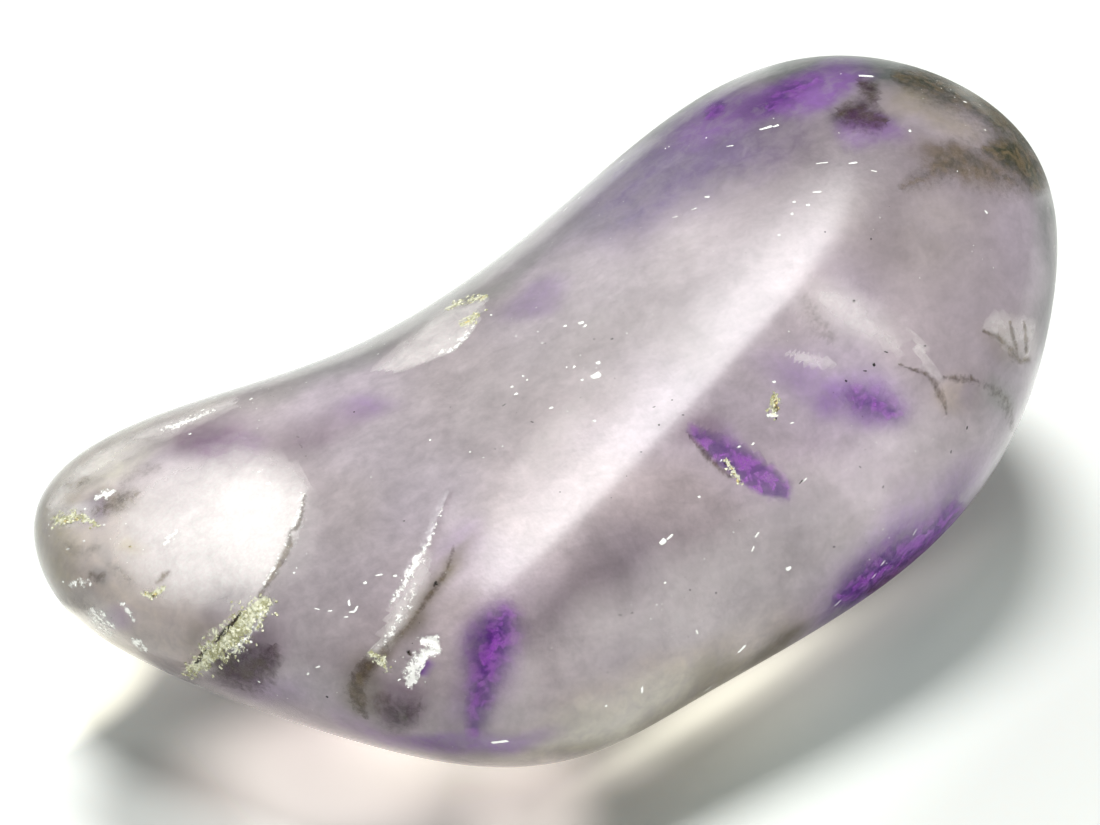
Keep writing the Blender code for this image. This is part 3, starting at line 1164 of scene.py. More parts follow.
class Pebble:
    """The stone's fine skin with its marks, and where a pixel of a view lands on it.

    REFINEMENTS is how often the solid's faces are divided, once those that meet at less than
    FLAT_ENOUGH_DEG are joined in pairs. LOOSE_MM and CRISP_MM are how far apart the lumps of the noise
    are that pushes a zone's edge about, and how far it pushes. PUSH_SEED keeps that noise the same on
    every run. CRUMB_MM is how far apart the lumps in a rough mark are, and DRIFT_MM those of the dust,
    which keeps DUST_FREE_MM off the sides of the stone's box. Skin that faces a view by more than
    GRAZING shows fully in it. A pixel that misses the stone is moved up to EDGE_STEPS pixels towards
    MIDDLE_PX.
    """

    REFINEMENTS = 2
    FLAT_ENOUGH_DEG = 60.0
    LOOSE_MM = (2.6, 0.8)
    CRISP_MM = (0.8, 0.26)
    PUSH_SEED = 1796067767
    CRUMB_MM = 0.16
    FAINTEST = 0.1
    DRIFT_MM = 2.4
    DUSTINESS = 2.5
    DUST_FREE_MM = 0.12
    GRAZING = 0.12
    MIDDLE_PX = (550.0, 430.0)
    EDGE_STEPS = 60

    def __init__(self, node: bpy.types.Object, sides: Sequence[Side]) -> None:
        """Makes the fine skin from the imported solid's node, with its marks.

        Args:
            node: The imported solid's object, which is only copied.
            sides: What shows on each side of the skin.
        """
        self.sides = sides
        self.skin = self.refined(node)
        for turn in range(max(len(side.margins_px) for side in sides)):
            self.detail(turn)
        self.mark()
        graph = bpy.context.evaluated_depsgraph_get()
        self.tree = BVHTree.FromObject(self.skin, graph)

    def refined(self, node: bpy.types.Object) -> bpy.types.Object:
        """A smooth, finer copy of the solid.

        Args:
            node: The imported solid's object.

        Returns:
            The new object.
        """
        cage = bmesh.new()
        cage.from_mesh(node.data)
        bmesh.ops.remove_doubles(cage, verts=cage.verts, dist=WELD)
        limit = math.radians(self.FLAT_ENOUGH_DEG)
        bmesh.ops.join_triangles(
            cage, faces=cage.faces, angle_face_threshold=limit, angle_shape_threshold=limit
        )
        mesh = bpy.data.meshes.new("skin_cage")
        cage.to_mesh(mesh)
        cage.free()
        rough = link(bpy.data.objects.new("skin_cage", mesh))
        finer = rough.modifiers.new("finer", "SUBSURF")
        finer.levels = self.REFINEMENTS
        finer.render_levels = self.REFINEMENTS
        return plain_mesh(rough, "polished_skin")

    def read(self) -> tuple[np.ndarray, np.ndarray]:
        """The skin's points, in metres, and the way that it faces at each."""
        mesh = self.skin.data
        points, normals = np.empty((2, len(mesh.vertices), 3))
        mesh.vertices.foreach_get("co", points.ravel())
        mesh.vertex_normals.foreach_get("vector", normals.ravel())
        return points, normals

    def write(self, name: str, values: np.ndarray) -> None:
        """Gives the skin a number at each point, or a colour where the values have four columns."""
        kind, key = ("FLOAT", "value") if values.ndim == 1 else ("FLOAT_COLOR", "color")
        layer = self.skin.data.attributes.new(name, kind, "POINT")
        layer.data.foreach_set(key, values.ravel())

    def seen(self, view: PhotoView, normals: np.ndarray) -> np.ndarray:
        """How squarely points of the skin face a view.

        What the photograph shows counts as not seen from anywhere else.

        Args:
            view: The view.
            normals: The way the skin faces at each point.

        Returns:
            A number for each that is 1 where it faces the camera and 0 where it can't be seen.
        """
        facing = np.clip(normals @ np.array(view.back) / self.GRAZING, 0.0, 1.0)
        if view is not PHOTO_VIEW:
            facing *= np.clip(-(normals @ np.array(PHOTO_VIEW.back)) / self.GRAZING, 0.0, 1.0)
        return facing

    def detail(self, turn: int) -> None:
        """Halves the skin's faces near the fine marks.

        Args:
            turn: How often they have been halved.
        """
        finer = bmesh.new()
        finer.from_mesh(self.skin.data)
        finer.normal_update()
        finer.verts.ensure_lookup_table()
        points = np.array([vertex.co for vertex in finer.verts])
        normals = np.array([vertex.normal for vertex in finer.verts])
        wanted = np.zeros(len(points), dtype=bool)
        for side in self.sides:
            if turn >= len(side.margins_px):
                continue
            pixels = side.view.pixels(points)
            shows = self.seen(side.view, normals) > 0
            for mark in side.marks:
                if mark.fine:
                    wanted |= mark.near(pixels, side.margins_px[turn]) & shows
        edges = [edge for edge in finer.edges if all(wanted[vertex.index] for vertex in edge.verts)]
        bmesh.ops.subdivide_edges(
            finer, edges=edges, cuts=1, use_grid_fill=True, smooth=1.0, smooth_falloff="LINEAR"
        )
        finer.to_mesh(self.skin.data)
        finer.free()

    def mark(self) -> None:
        """Writes the marks into the skin's points, and sinks and roughens it where they say."""
        points, normals = self.read()
        shares = {channel: np.zeros(len(points)) for channel in Channel}
        sunk_mm = np.zeros(len(points))
        crumbs = np.array([noise.noise(Vector(point) / (self.CRUMB_MM * MM)) for point in points])
        for side in self.sides:
            pixels = side.view.pixels(points)
            seen = self.seen(side.view, normals)
            for mark in side.marks:
                share = mark.share(pixels) * seen
                shares[mark.channel] = np.maximum(shares[mark.channel], share)
                bed = eased(share / max(mark.strength, self.FAINTEST))
                sunk_mm = np.maximum(sunk_mm, mark.dip_mm * bed) - mark.crumb_mm * bed * crumbs
        sunk_mm = np.maximum(sunk_mm, 0.0)
        sunk = points - normals * sunk_mm[:, None] * MM
        self.skin.data.vertices.foreach_set("co", sunk.ravel())
        for channel, share in shares.items():
            self.write(channel.value, share)
        self.skin.data.update()

    def tint(self) -> None:
        """Writes the colour zones, with painted shade and painted light among them, the other zones and the
        dust into the skin's points.

        The colour is what the zones add, and its alpha is how much of the quartz's own colour is left.
        """
        points = self.read()[0] / MM
        noise.seed_set(self.PUSH_SEED)
        pushed = {}
        for crisp, (size_mm, reach_mm) in ((False, self.LOOSE_MM), (True, self.CRISP_MM)):
            push = np.array([noise.noise_vector(Vector(point) / size_mm) for point in points])
            pushed[crisp] = points + push * reach_mm

        def shown(zone: Zone, view: PhotoView) -> np.ndarray:
            """How much of a zone each point gets."""
            middle, _ = self.hit(view, zone.x_px, zone.y_px)
            return zone.share(pushed[zone.crisp], middle, view)

        paint = np.zeros((len(points), 3))
        left = np.ones(len(points))
        drifts = np.array([noise.noise(Vector(point) / self.DRIFT_MM) for point in points])
        margin = np.minimum(points - points.min(axis=0), points.max(axis=0) - points).min(axis=1)
        numbers = {
            DUST: np.clip(drifts * self.DUSTINESS, 0.0, 1.0) * (margin > self.DUST_FREE_MM),
            MILK_AND_LIGHT: np.zeros(len(points)),
            DULL: np.zeros(len(points)),
        }
        for side in self.sides:
            for zone in side.zones:
                share = shown(zone, side.view)
                paint = paint * (1 - share[:, None]) + np.array(zone.pigment.linear()[:3]) * share[:, None]
                left = left * (1 - share)
            for name, zones in side.shares.items():
                for zone in zones:
                    numbers[name] = np.maximum(numbers[name], shown(zone, side.view))
        self.write(TINT, np.column_stack([paint, left]))
        for name, values in numbers.items():
            self.write(name, values)

    def hit(self, view: PhotoView, x_px: float, y_px: float) -> tuple[Vector, Vector]:
        """Where a pixel lands on the skin. One that just misses the stone is moved in to its edge.

        Args:
            view: The view that the pixel is in.
            x_px: The pixel's place from the left edge.
            y_px: The pixel's place from the top edge.

        Returns:
            The point on the skin, and the way the skin faces there.
        """
        middle = np.array(self.MIDDLE_PX)
        pixel = np.array((x_px, y_px))
        inward = (middle - pixel) / np.linalg.norm(middle - pixel)
        for step in range(self.EDGE_STEPS):
            tried = pixel + inward * step
            point, normal, _, _ = self.tree.ray_cast(view.eye, view.ray(*tried))
            if point is not None:
                return point, normal
        raise ValueError(f"pixel {x_px}, {y_px} is far off the stone")


@dataclass(frozen=True)
class ChannelLook:
    """What a mark's material looks like: its two colours, how much it hides and how ragged it is."""

    channel: Channel
    pigment: Pigment
    second: Pigment
    most: float
    raggedness: float
    edge: float = 0.14


CHANNEL_LOOKS = (
    ChannelLook(Channel.VIOLET, Pigment.DEEP_VIOLET, Pigment.BRIGHT_VIOLET, 0.68, 0.5, 0.5),
    ChannelLook(Channel.BRUISE, Pigment.BRUISE, Pigment.STAIN, 0.84, 1.1, 0.5),
    ChannelLook(Channel.PEAT, Pigment.DARK_OLIVE, Pigment.UMBER, 0.84, 0.8, 0.5),
    ChannelLook(Channel.STAIN, Pigment.STAIN, Pigment.UMBER, 0.66, 1.1, 0.3),
    ChannelLook(Channel.CHALK, Pigment.CHALK, Pigment.PEARL, 0.9, 2.2),
    ChannelLook(Channel.MOSS, Pigment.MOSS_CHALK, Pigment.MOSS, 0.95, 2.2),
    ChannelLook(Channel.COAL, Pigment.COAL, Pigment.STAIN, 0.95, 0.6),
)


@dataclass(frozen=True)
class QuartzFinish:
    """Polished quartz that is clear in places and milky in others.

    milkiness is how rough the quartz is under its polish, and sheen how strongly that reflects. The
    numbers after mottling say how much each texture changes the colour's brightness, and swell_mm and
    pitting_mm how deep the waves and the pits in the polish are.
    """

    clearness: float = 0.72
    ior: float = 1.544
    polish_roughness: float = 0.16
    milkiness: float = 0.34
    sheen: float = 0.2
    mottling: float = 1.1
    shading: float = 0.6
    cloudiness: float = 0.9
    fibring: float = 0.5
    sparkle: float = 0.2
    swell_mm: float = 0.018
    pitting_mm: float = 0.009
    absorption: tuple[float, float, float, float] = (0.80, 0.72, 0.82, 1.0)
    density: float = 45.0
    clouds: Texture = Texture(7.0, 1.0, steps=(0.4, 0.6))
    wisps: Texture = Texture(1.9, 4.0, 0.62, warp_mm=2.4, reach_mm=1.2)
    mottle: Texture = Texture(0.85, 4.0, 0.66, warp_mm=0.9, reach_mm=0.5)
    fibres: Texture = Texture(0.42, 4.0, 0.62, warp_mm=1.6, reach_mm=0.9, stretch=(0.3, 1.0, 1.0))
    sugar: Texture = Texture(0.2, 1.0)
    waves: Texture = Texture(1.3, 2.0, 0.5)

    def build(self) -> bpy.types.Material:
        """Makes the material.

        Returns:
            The material.
        """
        recipe = Recipe.material(SLOT_NAME)
        place = recipe.place()
        mottle = recipe.grain(place, self.mottle)
        sugar = recipe.grain(place, self.sugar)
        clouds = recipe.grain(place, self.clouds)
        colour = recipe.blend(clouds, Pigment.LILAC.linear(), Pigment.ROSE_GREY.linear())
        paint = recipe.node("ShaderNodeAttribute", {"attribute_name": TINT}, output="Color")
        held = 1.0 - Wire(recipe, paint.socket.node.outputs["Alpha"])
        zone = recipe.vector("SCALE", paint, scale=1.0 / held.at_least(LEAST_SHARE))
        share = (held * ((mottle - 0.5) * self.mottling + 1.0)).clamped()
        colour = recipe.blend(share, colour, zone)
        shade = (sugar - 0.5) * self.sparkle + 1.0
        for noised, much in (
            (recipe.grain(place, self.wisps), self.cloudiness),
            (recipe.grain(place, self.fibres), self.fibring),
            (mottle, self.shading),
        ):
            shade = shade * ((noised - 0.5) * much + 1.0)
        waves = {"Distance": self.swell_mm * MM, "Height": recipe.grain(place, self.waves)}
        swell = recipe.node("ShaderNodeBump", None, waves)
        pits = {"Distance": self.pitting_mm * MM, "Height": sugar, "Normal": swell}
        inside = {"Color": self.absorption, "Density": self.density}
        return recipe.finish(
            {
                "Base Color": recipe.vector("SCALE", colour, scale=shade),
                "Roughness": self.milkiness,
                "Specular IOR Level": self.sheen,
                "IOR": self.ior,
                "Transmission Weight": self.clearness,
                "Coat Weight": 1.0 - recipe.attribute(DULL),
                "Coat Roughness": self.polish_roughness,
                "Normal": recipe.node("ShaderNodeBump", None, pits),
            },
            recipe.node("ShaderNodeVolumeAbsorption", None, inside),
        )


@dataclass(frozen=True)
class GrainFinish:
    """A crystal grain, fleck or crumb: one colour with darker and rougher spots.

    unevenness is how far its roughness goes up and down.
    """

    name: str
    pigment: Pigment
    shade: Pigment
    roughness: float = 0.35
    coat: float = 0.6
    unevenness: float = 0.1
    spots: Texture = Texture(0.12, 2.0, steps=(0.4, 0.62))

    def build(self) -> bpy.types.Material:
        """Makes the material.

        Returns:
            The material.
        """
        recipe = Recipe.material(self.name)
        spots = recipe.grain(recipe.place(), self.spots)
        colour = recipe.blend(spots, self.shade.linear(), self.pigment.linear())
        rough = (0.5 - spots) * (2 * self.unevenness) + self.roughness
        return recipe.finish({"Base Color": colour, "Roughness": rough, "Coat Weight": self.coat})


WHITE_GRAIN = GrainFinish("white_quartz_grain", Pigment.SNOW, Pigment.CHALK)
MOSS_GRAIN = GrainFinish("mossy_crumb", Pigment.STRAW, Pigment.MOSS, roughness=0.6, coat=0.2)
DARK_GRAIN = GrainFinish("dark_mineral", Pigment.COAL, Pigment.INK, roughness=0.4)
RUST_GRAIN = GrainFinish("golden_mineral", Pigment.GOLD, Pigment.UMBER, roughness=0.4)


def grown(tree: bpy.types.GeometryNodeTree, source: bpy.types.Object, inputs: dict[str, float]) -> None:
    """Puts a node tree on an object as a modifier and sets its named inputs.

    Args:
        tree: The tree.
        source: The object.
        inputs: The values of the tree's inputs, by name.
    """
    modifier = source.modifiers.new("grown", "NODES")
    modifier.node_group = tree
    for item in tree.interface.items_tree:
        if item.item_type == "SOCKET" and item.in_out == "INPUT" and item.name in inputs:
            modifier[item.identifier] = inputs[item.name]


def new_growth(name: str, numbers: Sequence[str], whole: Sequence[str] = ()) -> Recipe:
    """An empty geometry tree.

    Args:
        name: Its name.
        numbers: The names of its inputs that are numbers.
        whole: The names of its inputs that are whole numbers.

    Returns:
        The tree's recipe.
    """
    tree = bpy.data.node_groups.new(name, "GeometryNodeTree")
    tree.interface.new_socket("Geometry", in_out="INPUT", socket_type="NodeSocketGeometry")
    for label in numbers:
        tree.interface.new_socket(label, in_out="INPUT", socket_type="NodeSocketFloat")
    for label in whole:
        tree.interface.new_socket(label, in_out="INPUT", socket_type="NodeSocketInt")
    tree.interface.new_socket("Geometry", in_out="OUTPUT", socket_type="NodeSocketGeometry")
    return Recipe(tree)


GRAIN_MM = 1.0
GRAIN_LUMPS_PER_M = 2400.0
GRAIN_PUSH_MM = 0.9


def grain_shape(recipe: Recipe) -> Wire:
    """One rough grain, a millimetre across, with a few flat faces.

    Args:
        recipe: The geometry tree.

    Returns:
        The grain's mesh.
    """
    sizes = {"Radius": GRAIN_MM / 2 * MM, "Subdivisions": 1}
    ball = recipe.node("GeometryNodeMeshIcoSphere", None, sizes)
    inputs = {"Vector": recipe.node("GeometryNodeInputPosition"), "Scale": GRAIN_LUMPS_PER_M}
    lumps = recipe.node("ShaderNodeTexNoise", None, inputs, "Color")
    push = recipe.vector("SCALE", recipe.vector("SUBTRACT", lumps, CENTRE), scale=GRAIN_PUSH_MM * MM)
    return recipe.node("GeometryNodeSetPosition", None, {"Geometry": ball, "Offset": push})


def grow_out(recipe: Recipe, points: Wire, turn: Wire, size: Wire, finish: bpy.types.Material) -> None:
    """Ends a geometry tree: a grain on each point, made real and given its material.

    Args:
        recipe: The geometry tree.
        points: The points.
        turn: How each grain is turned.
        size: How large each grain is, as a vector.
        finish: The material.
    """
    inputs = {"Points": points, "Instance": grain_shape(recipe), "Rotation": turn, "Scale": size}
    grains = recipe.node("GeometryNodeInstanceOnPoints", None, inputs)
    real = recipe.node("GeometryNodeRealizeInstances", None, {"Geometry": grains})
    dressed = recipe.node("GeometryNodeSetMaterial", None, {"Geometry": real, "Material": finish})
    recipe.node("NodeGroupOutput", None, {"Geometry": dressed}, None)


@dataclass(frozen=True)
class SheetFinish:
    """The milk, chalk, moss-coloured crust and stains in the polish, with painted light and painted
    reflections, as thick as the attributes say.

    fog and wisping say how thick the milk is and what its wisps add to that. The blotches break up a
    veil by blotching, less as it gets to full_veil, and haze is how much of what is under it a veil
    hides. body is how thick a mark's colour is before its ragged edge is cut, and onset how soon the
    raggedness sets in. sparkle and shading are how much the sugar and the ragged texture show.
    """

    name: str = "milk_stains_and_painted_light"
    roughness: float = 0.5
    sheen: float = 0.0
    polish_roughness: float = 0.16
    fog: float = 0.3
    wisping: float = 1.3
    blotching: float = 3.2
    full_veil: float = 1.15
    haze: float = 0.8
    body: float = 0.85
    onset: float = 4.0
    sparkle: float = 0.2
    shading: float = 0.3
    sugar_steps: tuple[float, float] = (0.3, 0.6)
    wisps: Texture = Texture(1.8, 3.0, 0.6, warp_mm=2.2, reach_mm=1.4)
    sugar: Texture = Texture(0.13, 2.0, 0.6)
    ragged: Texture = Texture(0.24, 4.0, 0.72, warp_mm=0.4, reach_mm=0.15)
    blotches: Texture = Texture(1.1, 4.0, 0.7, warp_mm=0.9, reach_mm=0.5)
    patches: Texture = Texture(0.42, 3.0, 0.6, warp_mm=0.6, reach_mm=0.3, steps=(0.42, 0.6))

    def build(self) -> bpy.types.Material:
        """Makes the material.

        Returns:
            The material.
        """
        recipe = Recipe.material(self.name)
        place = recipe.place()
        wisps, sugar, ragged, blotches, patches = (
            recipe.grain(place, texture)
            for texture in (self.wisps, self.sugar, self.ragged, self.blotches, self.patches)
        )
        fog = recipe.attribute(MILK_AND_LIGHT) * (wisps * self.wisping + self.fog)
        veil = recipe.attribute(Channel.VEIL_AND_REFLECTION.value)
        broken = (blotches - 0.5) * self.blotching * (self.full_veil - veil) + 1.0
        hidden = (veil * broken * self.haze).clamped() * (sugar * self.sparkle + (1 - self.sparkle))
        bare = (1.0 - fog.clamped()) * (1.0 - hidden)
        colour = recipe.blend(
            sugar.stepped(*self.sugar_steps), Pigment.PEARL.linear(), Pigment.MILK_AND_LIGHT.linear()
        )
        paint = recipe.vector("SCALE", colour, scale=1.0 - bare)
        for look in CHANNEL_LOOKS:
            amount = recipe.attribute(look.channel.value)
            torn = (ragged - 0.5) * look.raggedness * (amount * self.onset).clamped()
            share = (amount * self.body + torn).stepped(0.5 - look.edge, 0.5 + look.edge, look.most)
            colour = recipe.blend(patches, look.pigment.linear(), look.second.linear())
            paint = recipe.blend(share, paint, colour)
            bare = bare * (1.0 - share)
        colour = recipe.vector("SCALE", paint, scale=1.0 / (1.0 - bare).at_least(LEAST_SHARE))
        shade = (ragged - 0.5) * self.shading + 1.0
        return recipe.finish(
            {
                "Base Color": recipe.vector("SCALE", colour, scale=shade),
                "Roughness": self.roughness,
                "Specular IOR Level": self.sheen,
                "Alpha": (1.0 - bare).clamped(),
                "Coat Weight": 1.0 - recipe.attribute(DULL),
                "Coat Roughness": self.polish_roughness,
            }
        )


@dataclass(frozen=True)
class MineralSheet:
    """The thin layer in the polish where the quartz is milky, crusted or stained, and where painted light and
    painted reflections lie.
    """

    name: str = "mineral_sheet"
    least: float = 0.02
    lift_mm: float = 0.006

    def build(self, pebble: Pebble) -> bpy.types.Object:
        """Lifts the marked faces off a copy of the skin.

        Args:
            pebble: The stone.

        Returns:
            The sheet, as a plain mesh.
        """
        mesh = pebble.skin.data.copy()
        mesh.name = self.name
        names = (MILK_AND_LIGHT, *(channel.value for channel in Channel))
        shares = np.zeros((len(names), len(mesh.vertices)))
        for row, name in zip(shares, names):
            mesh.attributes[name].data.foreach_get("value", row)
        clear = shares.max(axis=0) < self.least
        sheet = bmesh.new()
        sheet.from_mesh(mesh)
        sheet.verts.ensure_lookup_table()
        bare = [vertex for vertex in sheet.verts if clear[vertex.index]]
        lifts = {vertex: vertex.normal * self.lift_mm * MM for vertex in sheet.verts}
        bmesh.ops.delete(sheet, geom=bare, context="VERTS")
        for vertex in sheet.verts:
            vertex.co += lifts[vertex]
        sheet.to_mesh(mesh)
        sheet.free()
        mesh.materials.clear()
        mesh.materials.append(SheetFinish().build())
        return link(bpy.data.objects.new(self.name, mesh))


@dataclass(frozen=True)
class CrumbBed:
    """Loose crystals and crumbs that fill a mark on the skin.

    where is the skin's number that says how thickly they lie. Each is small_mm to large_mm long,
    narrowness and flatness of that wide and high, sunk by sink_mm and tipped by up to tilt, in radians.
    The higher the power, the fewer lie where the mark is thin.
    """

    name: str
    where: str
    finish: GrainFinish
    seed: int
    per_square_mm: float
    small_mm: float
    large_mm: float
    narrowness: float = 0.75
    flatness: float = 0.6
    tilt: float = 0.5
    sink_mm: float = 0.03
    power: float = 2.0

    def build(self, pebble: Pebble) -> bpy.types.Object:
        """Grows the bed on a copy of the skin.

        Args:
            pebble: The stone.

        Returns:
            The bed, as a plain mesh.
        """
        recipe = new_growth(self.name, ("Per Square Metre", "Small", "Large", "Sink"), ("Seed",))
        given = recipe.node("NodeGroupInput")
        sockets = {socket.name: Wire(recipe, socket) for socket in given.socket.node.outputs}
        settings = {"data_type": "FLOAT"}
        held = recipe.node("GeometryNodeInputNamedAttribute", settings, {"Name": self.where})
        density = held**self.power * sockets["Per Square Metre"]
        inputs = {"Mesh": given, "Density": density, "Seed": sockets["Seed"]}
        points = recipe.node("GeometryNodeDistributePointsOnFaces", {"distribute_method": "RANDOM"}, inputs)
        outputs = points.socket.node.outputs
        normal = Wire(recipe, outputs["Normal"])
        sink = recipe.vector("SCALE", normal, scale=0.0 - sockets["Sink"])
        sunk = recipe.node("GeometryNodeSetPosition", None, {"Geometry": points, "Offset": sink})
        least, most = Vector((-self.tilt, -self.tilt, 0.0)), Vector((self.tilt, self.tilt, math.tau))
        inputs = {0: least, 1: most, "Seed": sockets["Seed"]}
        any_way = recipe.node("FunctionNodeRandomValue", {"data_type": "FLOAT_VECTOR"}, inputs)
        turn = recipe.node(
            "FunctionNodeRotateRotation",
            {"rotation_space": "LOCAL"},
            {"Rotation": Wire(recipe, outputs["Rotation"]), "Rotate By": any_way},
        )
        inputs = {2: sockets["Small"], 3: sockets["Large"], "Seed": sockets["Seed"] + 1}
        size = recipe.node("FunctionNodeRandomValue", settings, inputs, 1)
        inputs = {0: size, 1: size * self.narrowness, 2: size * self.flatness}
        shape = recipe.node("ShaderNodeCombineXYZ", None, inputs)
        grow_out(recipe, sunk, turn, shape, self.finish.build())
        source = link(bpy.data.objects.new(self.name, pebble.skin.data.copy()))
        values = {
            "Per Square Metre": self.per_square_mm * PER_SQUARE_MM,
            "Small": self.small_mm,
            "Large": self.large_mm,
            "Sink": self.sink_mm * MM,
            "Seed": self.seed,
        }
        grown(recipe.tree, source, values)
        return plain_mesh(source, self.name)


@dataclass(frozen=True)
class Flecks:
    """Single crystals that show in the polish, each at its own place.

    spots are pixels with the fleck's half length, half width and turn anticlockwise in degrees.
    plumpness and shortness scale the half width and the half length. thickness is a share of the
    fleck's narrow way across, and sink the share of that by which the fleck is sunk.
    """

    name: str
    finish: GrainFinish
    spots: tuple[tuple[float, float, float, float, float], ...]
    thickness: float = 0.35
    sink: float = 0.25
    plumpness: float = 1.0
    shortness: float = 0.9
    view: PhotoView = PHOTO_VIEW

    def build(self, pebble: Pebble) -> bpy.types.Object:
        """Grows the flecks on the skin.

        Args:
            pebble: The stone.

        Returns:
            The flecks, as a plain mesh.
        """
        places, aims, sizes = [], [], []
        for x_px, y_px, long_px, short_px, turn_deg in self.spots:
            point, normal = pebble.hit(self.view, x_px, y_px)
            along = turned_frame(self.view, turn_deg).col[0]
            along = (along - normal * along.dot(normal)).normalized()
            frame = Matrix((along, normal.cross(along), normal)).transposed()
            long_px, short_px = long_px * self.shortness, short_px * self.plumpness
            thick = 2 * min(long_px, short_px) * self.view.mm_per_px * self.thickness
            places.append(point - normal * (thick * self.sink * MM))
            aims.append(tuple(frame.to_euler()))
            sizes.append((2 * long_px * self.view.mm_per_px, 2 * short_px * self.view.mm_per_px, thick))
        mesh = bpy.data.meshes.new(self.name)
        mesh.from_pydata(places, [], [])
        for label, rows in (("aim", aims), ("size", sizes)):
            layer = mesh.attributes.new(label, "FLOAT_VECTOR", "POINT")
            layer.data.foreach_set("vector", np.array(rows, dtype=float).ravel())
        recipe = new_growth(self.name, ())
        given = recipe.node("NodeGroupInput")
        vectors = [
            recipe.node("GeometryNodeInputNamedAttribute", {"data_type": "FLOAT_VECTOR"}, {"Name": label})
            for label in ("aim", "size")
        ]
        grow_out(recipe, given, vectors[0], vectors[1], self.finish.build())
        source = link(bpy.data.objects.new(self.name, mesh))
        grown(recipe.tree, source, {})
        return plain_mesh(source, self.name)


CRUMB_BEDS = (
    CrumbBed(
        "moss_crust", Channel.MOSS.value, MOSS_GRAIN,
        seed=11, per_square_mm=110, small_mm=0.06, large_mm=0.24,
    ),
    CrumbBed(
        "white_crust", Channel.CHALK.value, WHITE_GRAIN,
        seed=12, per_square_mm=90, small_mm=0.04, large_mm=0.18,
    ),
    CrumbBed(
        "pale_dust", DUST, WHITE_GRAIN,
        seed=13, per_square_mm=2.6, small_mm=0.02, large_mm=0.10, sink_mm=0.015,
    ),
    CrumbBed(
        "dark_dust", DUST, DARK_GRAIN,
        seed=14, per_square_mm=0.9, small_mm=0.02, large_mm=0.07, sink_mm=0.012,
    ),
)

WHITE_SPOTS = (
    (596, 376, 6.5, 5.5, 20), (598, 363, 3.2, 3, 0), (582, 380, 2, 2, 0), (574, 367, 2.4, 1.6, 60),
    (523, 376, 1.8, 1.4, -40), (527, 380, 1.6, 1.4, 0), (512, 387, 2.2, 1.8, 0), (516, 394, 2.6, 1.9, 20),
    (551, 408, 2.8, 1.8, 15), (581, 323, 4, 3, 0), (585, 326, 3, 2, 40), (565, 326, 2.6, 2, 0),
    (594, 421, 2.4, 1.8, 0), (424, 341, 1.4, 1.2, 0), (378, 354, 1.4, 1.2, 0), (491, 315, 2, 1.4, -40),
    (663, 542, 5, 4, 35), (670, 537, 5.5, 1.8, 38), (788, 569, 3.6, 3.2, 0), (757, 535, 4.5, 1.6, 45),
    (753, 549, 4, 1.4, 60), (699, 497, 2, 1.8, 0), (739, 447, 3, 1.8, 25), (753, 444, 2.4, 1.4, 35),
    (721, 461, 2.8, 1.6, 40), (774, 382, 2.4, 1.8, 0), (772, 416, 3.4, 1.8, 10), (805, 480, 4, 1.2, 40),
    (792, 423, 3, 1, 10), (766, 128, 9, 2.6, 10), (776, 126, 4, 2.2, 20), (707, 197, 3.6, 2.2, -20),
    (853, 163, 6, 1.6, 8), (822, 163, 8, 0.9, 0), (808, 205, 2.6, 2, 0), (794, 202, 2.2, 2, 0),
    (792, 214, 1.8, 2.6, 0), (779, 235, 2, 1.8, 0), (817, 192, 6, 1.6, 0), (910, 131, 1.6, 3, 20),
    (965, 102, 3.2, 2.4, 0), (980, 105, 1.8, 1.4, 0), (985, 130, 1.8, 1.8, 0), (986, 212, 3, 1.6, -40),
    (874, 171, 4, 0.9, -15), (675, 217, 4, 0.9, 0), (694, 209, 4, 0.9, 15), (866, 76, 10, 3, -15),
    (730, 146, 5, 1, -10), (874, 576, 5, 1.8, 45), (883, 563, 5, 1.8, 45), (915, 532, 5, 1.4, 55),
    (838, 603, 6, 1.6, 35), (742, 649, 7, 2.6, 35), (708, 689, 6, 1.6, 30), (642, 690, 1.8, 5, 0),
    (606, 706, 1.8, 1.8, 0), (697, 632, 1.4, 3.4, 20), (790, 568, 2, 2, 0), (665, 583, 1.8, 1.8, 0),
    (500, 742, 11, 2.6, 12), (365, 583, 2.4, 2.2, 20), (349, 603, 1.6, 4.4, 10), (356, 609, 1.6, 4.6, -25),
    (352, 612, 4, 1.6, 0), (379, 575, 5, 1.2, 5), (395, 576, 2.6, 1.8, 0), (330, 611, 3, 1.2, 0),
    (317, 609, 4, 0.8, -15), (346, 617, 3, 1, 0), (318, 667, 3.6, 1.2, 20), (308, 674, 2.4, 1.4, 40),
    (259, 682, 2.4, 2.2, 0), (251, 642, 2.2, 2.2, 0), (245, 641, 3, 2.6, 0), (268, 484, 4, 3.4, 0),
    (259, 472, 3, 2.2, 0), (276, 573, 2, 1.6, 0), (251, 399, 2.6, 1.4, 10), (190, 434, 2, 1.6, 0),
    (203, 410, 3, 2, 15), (213, 411, 2, 1.6, 0), (85, 509, 1.8, 1.8, 0), (104, 525, 1.8, 1.6, 0),
    (84, 541, 1.8, 1.6, 0), (68, 549, 3, 1.2, 0), (63, 582, 1.8, 1.6, 0), (126, 524, 2, 1.6, 0),
    (137, 643, 4, 4, 0), (146, 648, 2.2, 2, 0), (104, 615, 3, 3, 20), (112, 626, 3, 2.4, 0),
    (201, 687, 7, 1.8, -22), (294, 573, 1.6, 1.6, 0), (430, 440, 1.6, 1.4, 0), (470, 452, 1.4, 1.2, 0),
)

